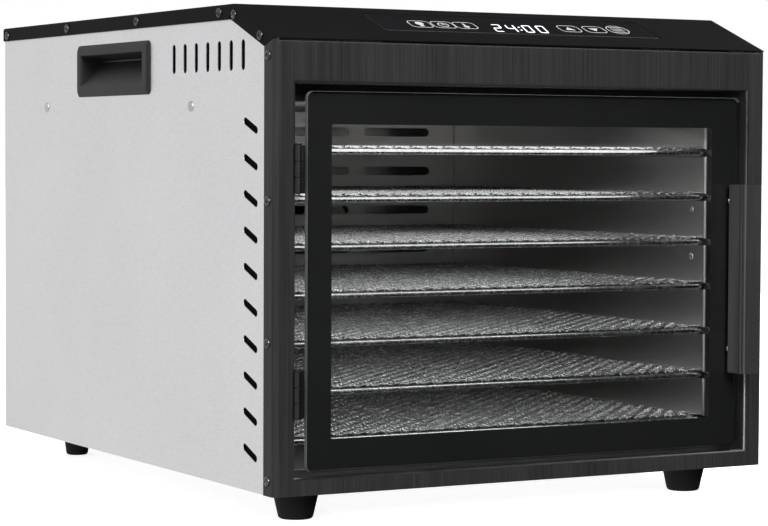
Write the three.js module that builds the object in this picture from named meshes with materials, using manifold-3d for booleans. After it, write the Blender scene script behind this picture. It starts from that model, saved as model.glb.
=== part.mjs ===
// Food dehydrator: a cabinet with a glass door, seven wire trays and a rear fan.
// Millimetres, +Z up. The front faces -Y and the feet stand on Z = 0.
import * as THREE from 'three';
import { mergeVertices } from 'three/addons/utils/BufferGeometryUtils.js';
import Module from 'manifold-3d';

const wasm = await Module();
wasm.setup();

// Driving dimensions ------------------------------------------------------------------

const gap = 0.3; // clearance between neighbouring pieces
const sheet = 0.8; // sheet metal thickness
const width = 340;
const bodyDepth = 423.4;
const bodyHeight = 278.8;
const frontHeight = 257.5; // where the sloping top meets the front
const crestDepth = 55; // where the slope meets the flat top
const footHeight = 18;
const handleReach = 17.6; // how far the door handle stands out

const half = width / 2;
const frontY = handleReach / 2 - bodyDepth / 2; // front plane, so the whole box is centred
const slopeAngle = Math.atan2(bodyHeight - frontHeight, crestDepth);
const slopeRise = Math.tan(slopeAngle);

const cover = { flange: 9, mitreDepth: 13, mitreGap: 0.8, notchDepth: 12 };
const frame = { flange: 13, bend: 3.5, returnDepth: 29.6, lipBottom: 223, mitreDrop: 5.4 };
const opening = { half: 156.2, bottom: 10.6, top: 232.4 };
const panel = { outer: half - sheet - gap, front: 3.6, rear: 423.2, top: bodyHeight - sheet - gap };
const grip = {
  front: 172.2, rear: 288.6, bottom: 228.7, top: 262, corner: 3.5, proud: 2, plate: 1.7,
  hollowFront: 181.8, hollowRear: 280.2, hollowBottom: 236, hollowTop: 255.2,
  depth: 12.8, deepDrop: 3.2, wall: 1.5,
};
const sideSlots = { count: 7, first: 42.1, pitch: 15.88, middle: 249.1, length: 17.6, width: 4.6 };
const frontSlots = { count: 10, first: 22.1, pitch: 20.73, depth: 32.1, length: 19, width: 4.2, lean: 21 };
const vent = { columns: 3, rows: 9, length: 26, width: 4, columnPitch: 34, rowPitch: 9 };
const floorSlots = { count: 8, pitch: 12, depth: 385, length: 30, width: 4 };
const rearPanelY = 420;
const frontFoot = { x: 137.1, y: 37, top: 13.75, bottom: 10 };
const rearFoot = { x: 131, y: 384, top: 9.8, bottom: 7.4 };

const tray = {
  count: 7, half: 151, front: 33, length: 300, lowest: 26.5, pitch: 27.93,
  wire: 3.2, corner: 6, meshThickness: 1.2, meshColumns: 7, meshRows: 2, meshBar: 3,
};
const liner = { inner: 147, front: 30, rear: 376, bottom: 10.2, top: 223, flange: 156.2 };
const runner = { bottom: 152, below: 1.9, above: 2.2 };
const baffle = { y: 340, columns: 4, columnPitch: 66, slotLength: 54, slotWidth: 6, lowest: 17, highest: 212 };
const rearLinerY = 374;

const glass = { left: -149.1, right: 151, bottom: 12.9, top: 228, thickness: 3.2, corner: 4 };
const hinge = {
  x: -155.5, y: -1, radius: 2.7, pin: 1.2, bore: 1.5, height: 27, levels: [57.3, 184.1],
  clearance: 1.5, leafDepth: 20, leafReach: 19.5,
};
const handle = {
  left: 142.4, right: 155.1, bottom: 59, top: 174.8, web: 3.4, flange: 3, standOff: 1.1,
  nose: 1.2, chamfer: 0.6, grooves: [[-11.8, -12.9], [-14.6, -15.6]], grooveDepth: 0.9,
};
const spacer = { radius: 2.4, inset: 2.2, levels: [73.4, 164.7] };
const strike = { left: 141, right: 149.5, half: 7, level: 124.3 };

const touchPanel = { middle: 7, half: 96.5, low: 19, high: 49, thickness: 1.6, corner: 2 };
const display = { left: -28, right: 30, low: 23, high: 45, front: -2, rear: -7.5, back: -9.6, step: 4 };
const board = { half: 90, low: 21, high: 47, front: -10, thickness: 1.6 };
const powerBoardPlace = { left: -60, right: 40, near: 150, far: 250, lift: 8, thickness: 1.6 };
const inlet = { x: 118, z: 44, halfWidth: 14, halfHeight: 10.5, depth: 20, wall: 2, flange: 6, plate: 1.8 };
const lamp = { x: 0, y: 120, radius: 11, rim: 2, drop: 6, above: 5 };
const fan = { level: 116, radius: 61, hub: 16, front: 346, depth: 17, blades: 6, pitchAngle: 32 };
const heater = { radius: 78, tube: 3, y: 358, legAngle: 12, legEnd: 382 };
const cutout = { x: 60, z: 180, flange: 11, body: 8, height: 8 };
const probe = { x: -60, z: 200, length: 24, radius: 2.5, collar: 5 };
const motor = { front: 386, rear: 402, bore: 13.4, rotor: 12.7, shaft: 2.5 };

// Finishes ----------------------------------------------------------------------------

function finish(color, roughness, metalness) {
  return new THREE.MeshStandardMaterial({ color, roughness, metalness });
}
const brushedSteel = finish(0xd3d4d6, 0.38, 1);
const linerSteel = finish(0xb9babc, 0.3, 1);
const wireSteel = finish(0xd9dadb, 0.22, 1);
const blackSteel = finish(0x2b2b2d, 0.45, 0.7);
const blackPaint = finish(0x1c1c1e, 0.5, 0.1);
const blackPlastic = finish(0x242426, 0.55, 0);
const blackRubber = finish(0x161617, 0.85, 0);
const anodised = finish(0x2e2e30, 0.35, 0.8);
const clearGlass = finish(0x1b1e20, 0.05, 0);
const circuitGreen = finish(0x1f5a36, 0.6, 0);
const copper = finish(0x8a4b24, 0.4, 0.9);
const whitePlastic = finish(0xe6e3da, 0.5, 0);

// Geometry helpers --------------------------------------------------------------------

function toSolid(geometry) {
  const bare = geometry.clone();
  bare.deleteAttribute('normal');
  bare.deleteAttribute('uv');
  const merged = mergeVertices(bare, 1e-4);
  const mesh = new wasm.Mesh({
    numProp: 3,
    vertProperties: new Float32Array(merged.attributes.position.array),
    triVerts: new Uint32Array(merged.index.array),
  });
  return new wasm.Manifold(mesh);
}

function toGeometry(solid) {
  const mesh = solid.getMesh();
  const geometry = new THREE.BufferGeometry();
  geometry.setAttribute('position', new THREE.BufferAttribute(mesh.vertProperties, 3));
  geometry.setIndex(new THREE.BufferAttribute(mesh.triVerts, 1));
  return geometry;
}

// Joins the first list of geometries, then cuts the second list from them.
function combine(joined, cut = []) {
  let solid = toSolid(joined[0]);
  for (const geometry of joined.slice(1)) {
    solid = solid.add(toSolid(geometry));
  }
  for (const geometry of cut) {
    solid = solid.subtract(toSolid(geometry));
  }
  return toGeometry(solid);
}

function block(x0, x1, y0, y1, z0, z1) {
  const box = new THREE.BoxGeometry(x1 - x0, y1 - y0, z1 - z0);
  return box.translate((x0 + x1) / 2, (y0 + y1) / 2, (z0 + z1) / 2);
}

function polygon(points) {
  return new THREE.Shape(points.map(([u, v]) => new THREE.Vector2(u, v)));
}

function roundedRect(u0, u1, v0, v1, radius) {
  const shape = new THREE.Shape();
  shape.moveTo(u0 + radius, v0);
  shape.lineTo(u1 - radius, v0);
  shape.absarc(u1 - radius, v0 + radius, radius, -Math.PI / 2, 0);
  shape.lineTo(u1, v1 - radius);
  shape.absarc(u1 - radius, v1 - radius, radius, 0, Math.PI / 2);
  shape.lineTo(u0 + radius, v1);
  shape.absarc(u0 + radius, v1 - radius, radius, Math.PI / 2, Math.PI);
  shape.lineTo(u0, v0 + radius);
  shape.absarc(u0 + radius, v0 + radius, radius, Math.PI, Math.PI * 1.5);
  return shape;
}

// A slot with round ends, its long side at an angle in degrees from the first axis.
function slot(u, v, length, slotWidth, degrees) {
  const radius = slotWidth / 2;
  const turn = THREE.MathUtils.degToRad(degrees);
  const reach = length / 2 - radius;
  const du = Math.cos(turn) * reach;
  const dv = Math.sin(turn) * reach;
  const shape = new THREE.Shape();
  shape.absarc(u + du, v + dv, radius, turn - Math.PI / 2, turn + Math.PI / 2);
  shape.absarc(u - du, v - dv, radius, turn + Math.PI / 2, turn + Math.PI * 1.5);
  return shape;
}

function circle(u, v, radius) {
  const shape = new THREE.Shape();
  shape.absarc(u, v, radius, 0, Math.PI * 2);
  return shape;
}

function extrude(shape, depth, curveSegments = 4) {
  return new THREE.ExtrudeGeometry(shape, { depth, curveSegments, bevelEnabled: false });
}

// A shape drawn in X and Z becomes an upright plate from y0 to y1.
function frontPlate(shape, y0, y1, curveSegments) {
  return extrude(shape, y1 - y0, curveSegments).rotateX(Math.PI / 2).translate(0, y1, 0);
}

// A shape drawn in Y and Z becomes an upright plate from x0 to x1.
function sidePlate(shape, x0, x1, curveSegments) {
  const turn = new THREE.Matrix4().makeBasis(
    new THREE.Vector3(0, 1, 0),
    new THREE.Vector3(0, 0, 1),
    new THREE.Vector3(1, 0, 0),
  );
  return extrude(shape, x1 - x0, curveSegments).applyMatrix4(turn).translate(x0, 0, 0);
}

// A shape drawn in X and Y becomes a level plate from z0 to z1.
function levelPlate(shape, z0, z1, curveSegments) {
  return extrude(shape, z1 - z0, curveSegments).translate(0, 0, z0);
}

// A profile of [radius, height] points turned round the Z axis.
function turned(profile, segments = 20) {
  return new THREE.LatheGeometry(profile.map(([r, h]) => new THREE.Vector2(r, h)), segments)
    .rotateX(Math.PI / 2);
}

// The same, turned round a line along +Y through (x, z); heights are distances along Y.
function turnedAlongY(profile, x, z, segments) {
  return new THREE.LatheGeometry(profile.map(([r, h]) => new THREE.Vector2(r, h)), segments)
    .translate(x, 0, z);
}

function mirrorX(geometry) {
  return toGeometry(toSolid(geometry).mirror([1, 0, 0]));
}

const cabinet = new THREE.Group();
cabinet.position.set(0, frontY, footHeight);

function place(name, geometry, material, parent = cabinet) {
  const mesh = new THREE.Mesh(geometry, material);
  mesh.name = name;
  parent.add(mesh);
  return mesh;
}

function slopeHeight(y) {
  return frontHeight + y * slopeRise;
}

// Casing ------------------------------------------------------------------------------

// The bent outline of the top, offset inwards by a distance, from the rear to the front.
function topLine(offset, frontDepth) {
  const bendShift = offset * Math.tan(slopeAngle / 2);
  const slopeDrop = offset / Math.cos(slopeAngle);
  return [
    [bodyDepth, bodyHeight - offset],
    [crestDepth + bendShift, bodyHeight - offset],
    [frontDepth, slopeHeight(frontDepth) - slopeDrop],
  ];
}

function topCover() {
  const skin = sidePlate(polygon([...topLine(0, gap), ...topLine(sheet, gap).reverse()]), -half, half);
  const edge = [...topLine(0, gap), ...topLine(cover.flange, cover.mitreDepth + gap).reverse()];
  const left = sidePlate(polygon(edge), -half, -half + sheet);
  const right = sidePlate(polygon(edge), half - sheet, half);
  const notch = block(-half - 1, half + 1, -cover.mitreGap / 2, cover.mitreGap / 2,
    -cover.notchDepth, -sheet)
    .rotateX(slopeAngle / 2)
    .translate(0, crestDepth, bodyHeight);
  const window = levelPlate(
    roundedRect(-touchPanel.half - gap, touchPanel.half + gap,
      touchPanel.low - gap, touchPanel.high + gap, touchPanel.corner + gap),
    -5, 5,
  ).rotateX(slopeAngle).translate(touchPanel.middle, 0, frontHeight);
  return combine([skin, left, right], [notch, window]);
}

// A strip of sheet bent back along both sides, drawn in X and Y.
function bentStrip() {
  const { bend, flange } = frame;
  const inner = bend - sheet;
  const bent = new THREE.Shape();
  bent.moveTo(-half, flange);
  bent.lineTo(-half, bend);
  bent.absarc(-half + bend, bend, bend, Math.PI, Math.PI * 1.5);
  bent.lineTo(half - bend, 0);
  bent.absarc(half - bend, bend, bend, -Math.PI / 2, 0);
  bent.lineTo(half, flange);
  bent.lineTo(half - sheet, flange);
  bent.lineTo(half - sheet, bend);
  bent.absarc(half - bend, bend, inner, 0, -Math.PI / 2, true);
  bent.lineTo(-half + bend, sheet);
  bent.absarc(-half + bend, bend, inner, Math.PI * 1.5, Math.PI, true);
  bent.lineTo(-half + sheet, flange);
  return bent;
}

// The solids that trim the frame's top under the cover and mitre its side flanges.
function frameTrims() {
  const underCover = (y) => slopeHeight(y) - (sheet + gap) / Math.cos(slopeAngle);
  const rear = frame.flange + 1;
  const above = [[rear, bodyHeight], [-1, bodyHeight]];
  const trim = polygon([[-1, underCover(-1)], [rear, underCover(rear)], ...above]);
  const mitre = polygon([[-1, frontHeight], [rear, frontHeight - frame.mitreDrop], ...above]);
  return [
    sidePlate(trim, -half - 1, half + 1),
    sidePlate(mitre, -half - 1, -half + sheet + gap),
    sidePlate(mitre, half - sheet - gap, half + 1),
  ];
}

// The jamb folds back round the opening and ends in a lip that hangs from its top.
function frontFrame() {
  const face = levelPlate(bentStrip(), 0, frontHeight);
  const { half: reach, bottom, top } = opening;
  const rear = frame.returnDepth;
  const jamb = block(-reach - sheet, reach + sheet, 0, rear, bottom - sheet, top + sheet);
  const hole = block(-reach, reach, -1, rear - sheet, bottom, top);
  const underLip = block(-reach, reach, -1, rear + 1, bottom, frame.lipBottom);
  const notchHalf = hinge.height / 2 + hinge.clearance;
  const notches = hinge.levels.map((level) => block(
    hinge.x - hinge.radius - 0.4, hinge.x + hinge.radius, -1, hinge.y + hinge.radius + 0.5,
    level - notchHalf, level + notchHalf,
  ));
  return combine([face, jamb], [hole, underLip, ...frameTrims(), ...notches]);
}

function sideSlotShapes() {
  const shapes = [];
  for (let i = 0; i < sideSlots.count; i += 1) {
    const depth = sideSlots.first + i * sideSlots.pitch;
    shapes.push(slot(depth, sideSlots.middle, sideSlots.length, sideSlots.width, 90));
  }
  for (let i = 0; i < frontSlots.count; i += 1) {
    const level = frontSlots.first + i * frontSlots.pitch;
    shapes.push(slot(frontSlots.depth, level, frontSlots.length, frontSlots.width, frontSlots.lean));
  }
  return shapes;
}

function sidePanel() {
  const under = (sheet + gap) / Math.cos(slopeAngle);
  const outline = polygon([
    [panel.front, 0], [panel.rear, 0], [panel.rear, panel.top],
    [crestDepth + gap, panel.top], [panel.front, slopeHeight(panel.front) - under],
  ]);
  outline.holes = sideSlotShapes();
  outline.holes.push(roundedRect(
    grip.hollowFront - grip.wall - 0.5, grip.hollowRear + grip.wall + 0.5,
    grip.hollowBottom - grip.wall - 1, grip.hollowTop + grip.wall + 1, 1,
  ));
  return sidePlate(outline, -panel.outer, -panel.outer + sheet, 2);
}

// The grip's hollow is a wedge: its floor slopes inwards and upwards to a deep top edge.
function gripCup() {
  const { wall, hollowBottom, hollowTop, hollowFront, hollowRear } = grip;
  const face = -panel.outer - grip.proud;
  const deep = face + grip.depth;
  const deepTop = hollowTop - grip.deepDrop;
  const rim = sidePlate(
    roundedRect(grip.front, grip.rear, grip.bottom, grip.top, grip.corner),
    face, face + grip.plate,
  );
  const shell = frontPlate(polygon([
    [face + gap, hollowBottom - wall], [deep, deepTop - wall * 2], [deep + wall, deepTop - wall],
    [deep + wall, deepTop + wall], [face + gap, hollowTop + wall],
  ]), hollowFront - wall, hollowRear + wall);
  const hollow = frontPlate(polygon([
    [face - gap, hollowBottom - gap], [deep, deepTop - 1], [deep, deepTop], [face - gap, hollowTop],
  ]), hollowFront, hollowRear);
  return combine([rim, shell], [hollow]);
}

function rearPanel() {
  const inside = panel.outer - sheet - gap;
  const outline = roundedRect(-inside, inside, sheet + gap, panel.top, 0.5);
  for (let column = 0; column < vent.columns; column += 1) {
    for (let row = 0; row < vent.rows; row += 1) {
      const x = (column - (vent.columns - 1) / 2) * vent.columnPitch;
      const z = fan.level + (row - (vent.rows - 1) / 2) * vent.rowPitch;
      outline.holes.push(slot(x, z, vent.length, vent.width, 0));
    }
  }
  const inletHalf = inlet.halfWidth + 0.5;
  outline.holes.push(roundedRect(inlet.x - inletHalf, inlet.x + inletHalf,
    inlet.z - inlet.halfHeight - 0.5, inlet.z + inlet.halfHeight + 0.5, 0.5));
  return frontPlate(outline, rearPanelY, rearPanelY + sheet, 2);
}

function bottomPlate() {
  const inside = panel.outer - sheet - gap;
  const outline = roundedRect(-inside, inside, panel.front, rearPanelY - gap, 0.5);
  for (let i = 0; i < floorSlots.count; i += 1) {
    const x = (i - (floorSlots.count - 1) / 2) * floorSlots.pitch;
    outline.holes.push(slot(x, floorSlots.depth, floorSlots.length, floorSlots.width, 90));
  }
  return levelPlate(outline, 0, sheet, 2);
}

function foot({ top, bottom }) {
  const edge = 1.5;
  return turned([
    [0, 0], [bottom - edge, 0], [bottom, edge], [top, footHeight - edge],
    [top, footHeight - gap], [0, footHeight - gap],
  ], 24);
}

// Drying chamber ----------------------------------------------------------------------

function trayLevel(index) {
  return tray.lowest + index * tray.pitch;
}

// A pressed sheet: seven runners for the trays, and a flange folded out at the front.
function linerWall() {
  const inside = [];
  const outside = [];
  for (let i = 0; i < tray.count; i += 1) {
    const low = trayLevel(i) - runner.below;
    const high = trayLevel(i) + runner.above;
    inside.push([liner.inner, low], [runner.bottom, low], [runner.bottom, high], [liner.inner, high]);
    outside.push(
      [liner.inner + sheet, low - sheet], [runner.bottom + sheet, low - sheet],
      [runner.bottom + sheet, high + sheet], [liner.inner + sheet, high + sheet],
    );
  }
  const section = polygon([
    [liner.inner, liner.bottom], ...inside, [liner.inner, liner.top],
    [liner.inner + sheet, liner.top], ...outside.reverse(), [liner.inner + sheet, liner.bottom],
  ]);
  const wall = frontPlate(section, liner.front, liner.rear);
  const flangeNear = liner.front;
  const flange = block(liner.inner, liner.flange, flangeNear, flangeNear + sheet, liner.bottom, liner.top);
  const mouths = inside.filter((_, i) => i % 4 === 0).map(([, low]) => block(
    liner.inner - 1, runner.bottom, flangeNear - 1, flangeNear + sheet + 1,
    low, low + runner.below + runner.above,
  ));
  return combine([wall, flange], mouths);
}

function linerCeiling() {
  const inside = liner.inner - gap;
  const outline = roundedRect(-inside, inside, liner.front, rearLinerY - gap, 0.5);
  outline.holes.push(circle(lamp.x, lamp.y, lamp.radius + gap * 2));
  return levelPlate(outline, liner.top - sheet, liner.top, 10);
}

function linerFloor() {
  const inside = liner.inner - gap;
  return block(-inside, inside, liner.front, rearLinerY - gap, liner.bottom, liner.bottom + sheet);
}

// Rows of short slots let the air through in front of every tray gap.
function airBaffle() {
  const inside = liner.inner - gap;
  const outline = roundedRect(-inside, inside, liner.bottom + sheet + gap, liner.top - sheet - gap, 0.5);
  for (let i = 0; i <= tray.count; i += 1) {
    const between = trayLevel(i) - tray.pitch / 2;
    const level = THREE.MathUtils.clamp(between, baffle.lowest, baffle.highest);
    for (let column = 0; column < baffle.columns; column += 1) {
      const x = (column - (baffle.columns - 1) / 2) * baffle.columnPitch;
      outline.holes.push(slot(x, level, baffle.slotLength, baffle.slotWidth, 0));
    }
  }
  return frontPlate(outline, baffle.y, baffle.y + sheet, 2);
}

function rearLinerWall() {
  const inside = liner.inner - gap;
  const outline = roundedRect(-inside, inside, liner.bottom + sheet + gap, liner.top - sheet - gap, 0.5);
  const leg = THREE.MathUtils.degToRad(heater.legAngle);
  const legX = heater.radius * Math.sin(leg);
  const legZ = fan.level - heater.radius * Math.cos(leg);
  outline.holes.push(circle(0, fan.level, motor.shaft + 5.5));
  outline.holes.push(circle(-legX, legZ, heater.tube + 1), circle(legX, legZ, heater.tube + 1));
  return frontPlate(outline, rearLinerY, rearLinerY + sheet, 5);
}

// Touch controls ----------------------------------------------------------------------

// Drawn in the slope's own frame: X along the front, Y up the slope, Z out of it.
const slope = new THREE.Group();
slope.position.set(touchPanel.middle, 0, frontHeight);
slope.rotation.x = slopeAngle;
cabinet.add(slope);

function touchGlass() {
  const outline = roundedRect(-touchPanel.half, touchPanel.half,
    touchPanel.low, touchPanel.high, touchPanel.corner);
  return levelPlate(outline, -touchPanel.thickness, 0);
}

function displayModule() {
  const { left, right, low, high, front, rear, back, step } = display;
  return combine([
    block(left, right, low, high, rear, front),
    block(left + step, right - step, low + step, high - step, back, rear + 0.5),
  ]);
}

function controlBoard() {
  const rear = board.front - board.thickness;
  const plate = block(-board.half, board.half, board.low, board.high, rear, board.front);
  const connector = block(60, 78, board.low + 3, board.low + 11, rear - 5.4, rear + 0.5);
  const chip = block(-50, -38, board.low + 7, board.low + 19, rear - 1.8, rear + 0.5);
  return combine([plate, connector, chip]);
}

// Electrical parts --------------------------------------------------------------------

function powerBoard() {
  const { left, right, near, far, lift, thickness } = powerBoardPlace;
  const low = liner.top + lift;
  const top = low + 1;
  const posts = [];
  for (const x of [left + 6, right - 6]) {
    for (const y of [near + 6, far - 6]) {
      posts.push(block(x - 3, x + 3, y - 3, y + 3, liner.top + gap, low + 0.5));
    }
  }
  const parts = [
    block(-50, -18, 165, 195, top, top + 25), // transformer
    block(0, 20, 170, 186, top, top + 16), // relay
    block(-40, -10, 215, 235, top, top + 13), // filter choke
    turned([[0, 0], [7, 0], [7, 24], [0, 24]], 16).translate(18, 215, top), // capacitor
  ];
  return combine([block(left, right, near, far, low, low + thickness), ...posts, ...parts]);
}

// A three-pin appliance inlet in a flanged housing, open to the rear.
function powerInlet() {
  const { x, z, halfWidth, halfHeight, depth, wall, flange, plate } = inlet;
  const back = rearPanelY + sheet + gap;
  const rim = block(x - halfWidth - flange, x + halfWidth + flange, back, back + plate,
    z - halfHeight - wall - 0.5, z + halfHeight + wall + 0.5);
  const housing = block(x - halfWidth, x + halfWidth, back - depth, back + 0.5,
    z - halfHeight, z + halfHeight);
  const cavity = block(x - halfWidth + wall, x + halfWidth - wall, back - depth + wall + 1, back + 3,
    z - halfHeight + wall, z + halfHeight - wall);
  const pins = [[-7, -2.5], [0, 2.5], [7, -2.5]].map(([dx, dz]) => (
    block(x + dx - 1, x + dx + 1, back - depth + 2, back - 6, z + dz - 2, z + dz + 2)));
  return combine([combine([rim, housing], [cavity]), ...pins]);
}

// A shallow dome under the ceiling, its body through the ceiling's hole.
function chamberLamp() {
  const { x, y, radius, rim, drop, above } = lamp;
  const under = liner.top - sheet - gap;
  const low = liner.top - drop;
  return turned([
    [0, low], [radius * 0.55, low + 0.5], [radius * 0.86, low + 2], [radius + rim, under - 1.2],
    [radius + rim, under], [radius, under], [radius, liner.top + above], [0, liner.top + above],
  ], 20).translate(x, y, 0);
}

function heaterElement() {
  const leg = THREE.MathUtils.degToRad(heater.legAngle);
  const points = [];
  const start = -Math.PI / 2 + leg;
  const end = start - leg * 2;
  const steps = 28;
  const at = (angle, y) => new THREE.Vector3(
    heater.radius * Math.cos(angle), y, fan.level + heater.radius * Math.sin(angle));
  points.push(at(start, heater.legEnd), at(start, heater.y + 12), at(start, heater.y + 5));
  for (let i = 1; i < steps; i += 1) {
    points.push(at(start + (Math.PI * 2 - leg * 2) * (i / steps), heater.y));
  }
  points.push(at(end, heater.y + 5), at(end, heater.y + 12), at(end, heater.legEnd));
  const path = new THREE.CatmullRomCurve3(points);
  const section = circle(0, 0, heater.tube);
  return new THREE.ExtrudeGeometry(section, { steps: 64, curveSegments: 2, extrudePath: path });
}

function heaterBracket(side) {
  const x = heater.radius * side;
  const arm = block(x - 6, x + 6, heater.y - 4, rearLinerY - gap, fan.level - 5, fan.level + 5);
  const channel = block(x - heater.tube - 0.5, x + heater.tube + 0.5,
    heater.y - 5, heater.y + heater.tube + 0.5, fan.level - 6, fan.level + 6);
  return combine([arm], [channel]);
}

function thermalCutout() {
  const back = rearLinerY + sheet + gap;
  return turnedAlongY([
    [0, back], [cutout.flange, back], [cutout.flange, back + 1], [cutout.body, back + 1],
    [cutout.body, back + cutout.height], [0, back + cutout.height],
  ], cutout.x, cutout.z, 20);
}

function temperatureProbe() {
  const back = rearLinerY - gap;
  const tip = back - probe.length;
  const collarNear = back - 2.5;
  return turnedAlongY([
    [0, tip], [probe.radius - 0.5, tip], [probe.radius, tip + 1], [probe.radius, collarNear],
    [probe.collar, collarNear], [probe.collar, back], [0, back],
  ], probe.x, probe.z, 16);
}

// Fan and motor -----------------------------------------------------------------------

function motorStator() {
  const outline = roundedRect(-31, 31, fan.level - 44, fan.level + 20, 2);
  outline.holes.push(circle(0, fan.level, motor.bore));
  outline.holes.push(roundedRect(-17, 17, fan.level - 32, fan.level - 18, 0.5));
  return frontPlate(outline, motor.front, motor.rear, 6);
}

function motorCoil() {
  const winding = frontPlate(roundedRect(-15, 15, fan.level - 47, fan.level - 20, 3),
    motor.front - 4.5, motor.rear + 4.5);
  const core = block(-16, 16, motor.front - gap, motor.rear + gap,
    fan.level - 44 - gap, fan.level - 32 + gap);
  return combine([winding], [core]);
}

// Two bearing plates joined by posts that stand on the rear wall of the chamber.
function motorBracket() {
  const low = fan.level - 15;
  const high = fan.level + 15;
  const front = block(-38, 38, motor.front - 3.5, motor.front - 2, low, high);
  const rear = block(-38, 38, motor.rear + 2, motor.rear + 3.5, low, high);
  const posts = [-38, 33].map((x) => (
    block(x, x + 5, rearLinerY + sheet + gap, motor.rear + 3, fan.level - 5, fan.level + 5)));
  const bore = turnedAlongY([[0, motor.front - 9], [3, motor.front - 9], [3, motor.rear + 9],
    [0, motor.rear + 9]], 0, fan.level, 16);
  return combine([front, rear, ...posts], [bore]);
}

function motorShaft() {
  const r = motor.shaft;
  return turnedAlongY([
    [0, fan.front - 2], [r, fan.front - 2], [r, motor.front + 1], [motor.rotor, motor.front + 1],
    [motor.rotor, motor.rear - 1], [r, motor.rear - 1], [r, motor.rear + 8], [0, motor.rear + 8],
  ], 0, fan.level, 20);
}

function fanImpeller() {
  const hub = turnedAlongY([
    [0, fan.front], [fan.hub - 3, fan.front], [fan.hub, fan.front + 3],
    [fan.hub, fan.front + fan.depth], [0, fan.front + fan.depth],
  ], 0, fan.level, 24);
  const reach = fan.radius - fan.hub + 3;
  const blades = [];
  for (let i = 0; i < fan.blades; i += 1) {
    const outline = roundedRect(fan.hub - 3, fan.hub - 3 + reach, -12, 12, 6);
    const blade = extrude(outline, 1.6, 2).translate(0, 0, -0.8)
      .rotateX(THREE.MathUtils.degToRad(fan.pitchAngle))
      .rotateY((Math.PI * 2 * i) / fan.blades)
      .translate(0, fan.front + fan.depth / 2 + 1, fan.level);
    blades.push(blade);
  }
  const bore = turnedAlongY([[0, fan.front - 5], [motor.shaft + gap, fan.front - 5],
    [motor.shaft + gap, fan.front + 30], [0, fan.front + 30]], 0, fan.level, 16);
  return combine([hub, ...blades], [bore]);
}

// Door --------------------------------------------------------------------------------

function doorGlass() {
  return frontPlate(
    roundedRect(glass.left, glass.right, glass.bottom, glass.top, glass.corner), 0, glass.thickness);
}

function rod(radius, z0, z1, segments) {
  return turned([[0, z0], [radius, z0], [radius, z1], [0, z1]], segments).translate(hinge.x, hinge.y, 0);
}

// Three knuckles share the height: the frame's leaf has the outer two.
function frameHinge(level) {
  const low = level - hinge.height / 2;
  const high = level + hinge.height / 2;
  const third = hinge.height / 3;
  const left = -opening.half + gap;
  const leafNear = hinge.y + hinge.radius + 0.6;
  const pieces = [block(left, left + sheet, leafNear, hinge.leafDepth, low, high)];
  for (const [z0, z1] of [[low, low + third - 0.2], [high - third + 0.2, high]]) {
    pieces.push(rod(hinge.radius, z0, z1, 16));
    pieces.push(block(left, left + sheet, hinge.y + 2, leafNear + 1, z0, z1));
  }
  return combine(pieces, [rod(hinge.bore, low - 1, high + 1, 12)]);
}

// The door's leaf has the middle knuckle and reaches behind the glass.
function doorHinge(level) {
  const knuckle = hinge.height / 6 - 0.2;
  const near = glass.thickness + 0.2;
  const far = near + 1.2;
  const left = hinge.x + 1;
  const leafHalf = hinge.height / 2;
  const barrel = rod(hinge.radius, level - knuckle, level + knuckle, 16);
  const neck = block(left, left + 1.2, hinge.y + 1.6, far, level - knuckle, level + knuckle);
  const leaf = block(left, left + hinge.leafReach, near, far, level - leafHalf, level + leafHalf);
  return combine([barrel, neck, leaf], [rod(hinge.bore, level - leafHalf, level + leafHalf, 12)]);
}

function hingePin(level) {
  const low = level - hinge.height / 2 - 0.5;
  const high = level + hinge.height / 2 + 0.2;
  return turned([
    [0, low], [hinge.pin, low], [hinge.pin, high], [hinge.radius - 0.4, high],
    [hinge.radius - 0.4, high + 0.8], [0, high + 0.8],
  ], 12).translate(hinge.x, hinge.y, 0);
}

// An angle section: a web standing off the glass, with two grooves down its outer face, and a
// flange turned to the right.
function doorHandle() {
  const { left, right, web, flange, nose, chamfer, grooveDepth } = handle;
  const nearY = -handle.standOff - 0.2;
  const farY = -handleReach;
  const flangeNear = farY + flange;
  const section = new THREE.Shape();
  section.moveTo(left, nearY);
  for (const [start, end] of handle.grooves) {
    section.lineTo(left, start);
    section.lineTo(left + grooveDepth, start);
    section.lineTo(left + grooveDepth, end);
    section.lineTo(left, end);
  }
  section.lineTo(left, farY + nose);
  section.absarc(left + nose, farY + nose, nose, Math.PI, Math.PI * 1.5);
  section.lineTo(right - chamfer, farY);
  section.lineTo(right, farY + chamfer);
  section.lineTo(right, flangeNear);
  section.lineTo(left + web + 1, flangeNear);
  section.lineTo(left + web, flangeNear + 1);
  section.lineTo(left + web, nearY);
  return levelPlate(section, handle.bottom, handle.top, 3);
}

function handleSpacer(level) {
  const { radius, inset } = spacer;
  const near = -handle.standOff;
  return turnedAlongY([[0, near], [radius, near], [radius, -0.2], [0, -0.2]],
    handle.left + inset, level, 16);
}

function doorStrikePlate() {
  const near = glass.thickness + 0.2;
  return block(strike.left, strike.right, near, near + 1, strike.level - strike.half,
    strike.level + strike.half);
}

// A magnet in a holder that is screwed to the jamb behind the door's edge.
function doorCatch() {
  const near = glass.thickness + 1.6;
  const right = opening.half - gap;
  const low = strike.level - strike.half - 1;
  const high = strike.level + strike.half + 1;
  return combine([
    block(strike.left + 2, right, near, near + 8, low, high),
    block(right - 2, right, near, near + 14, low, high),
  ]);
}

// Trays -------------------------------------------------------------------------------

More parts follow.
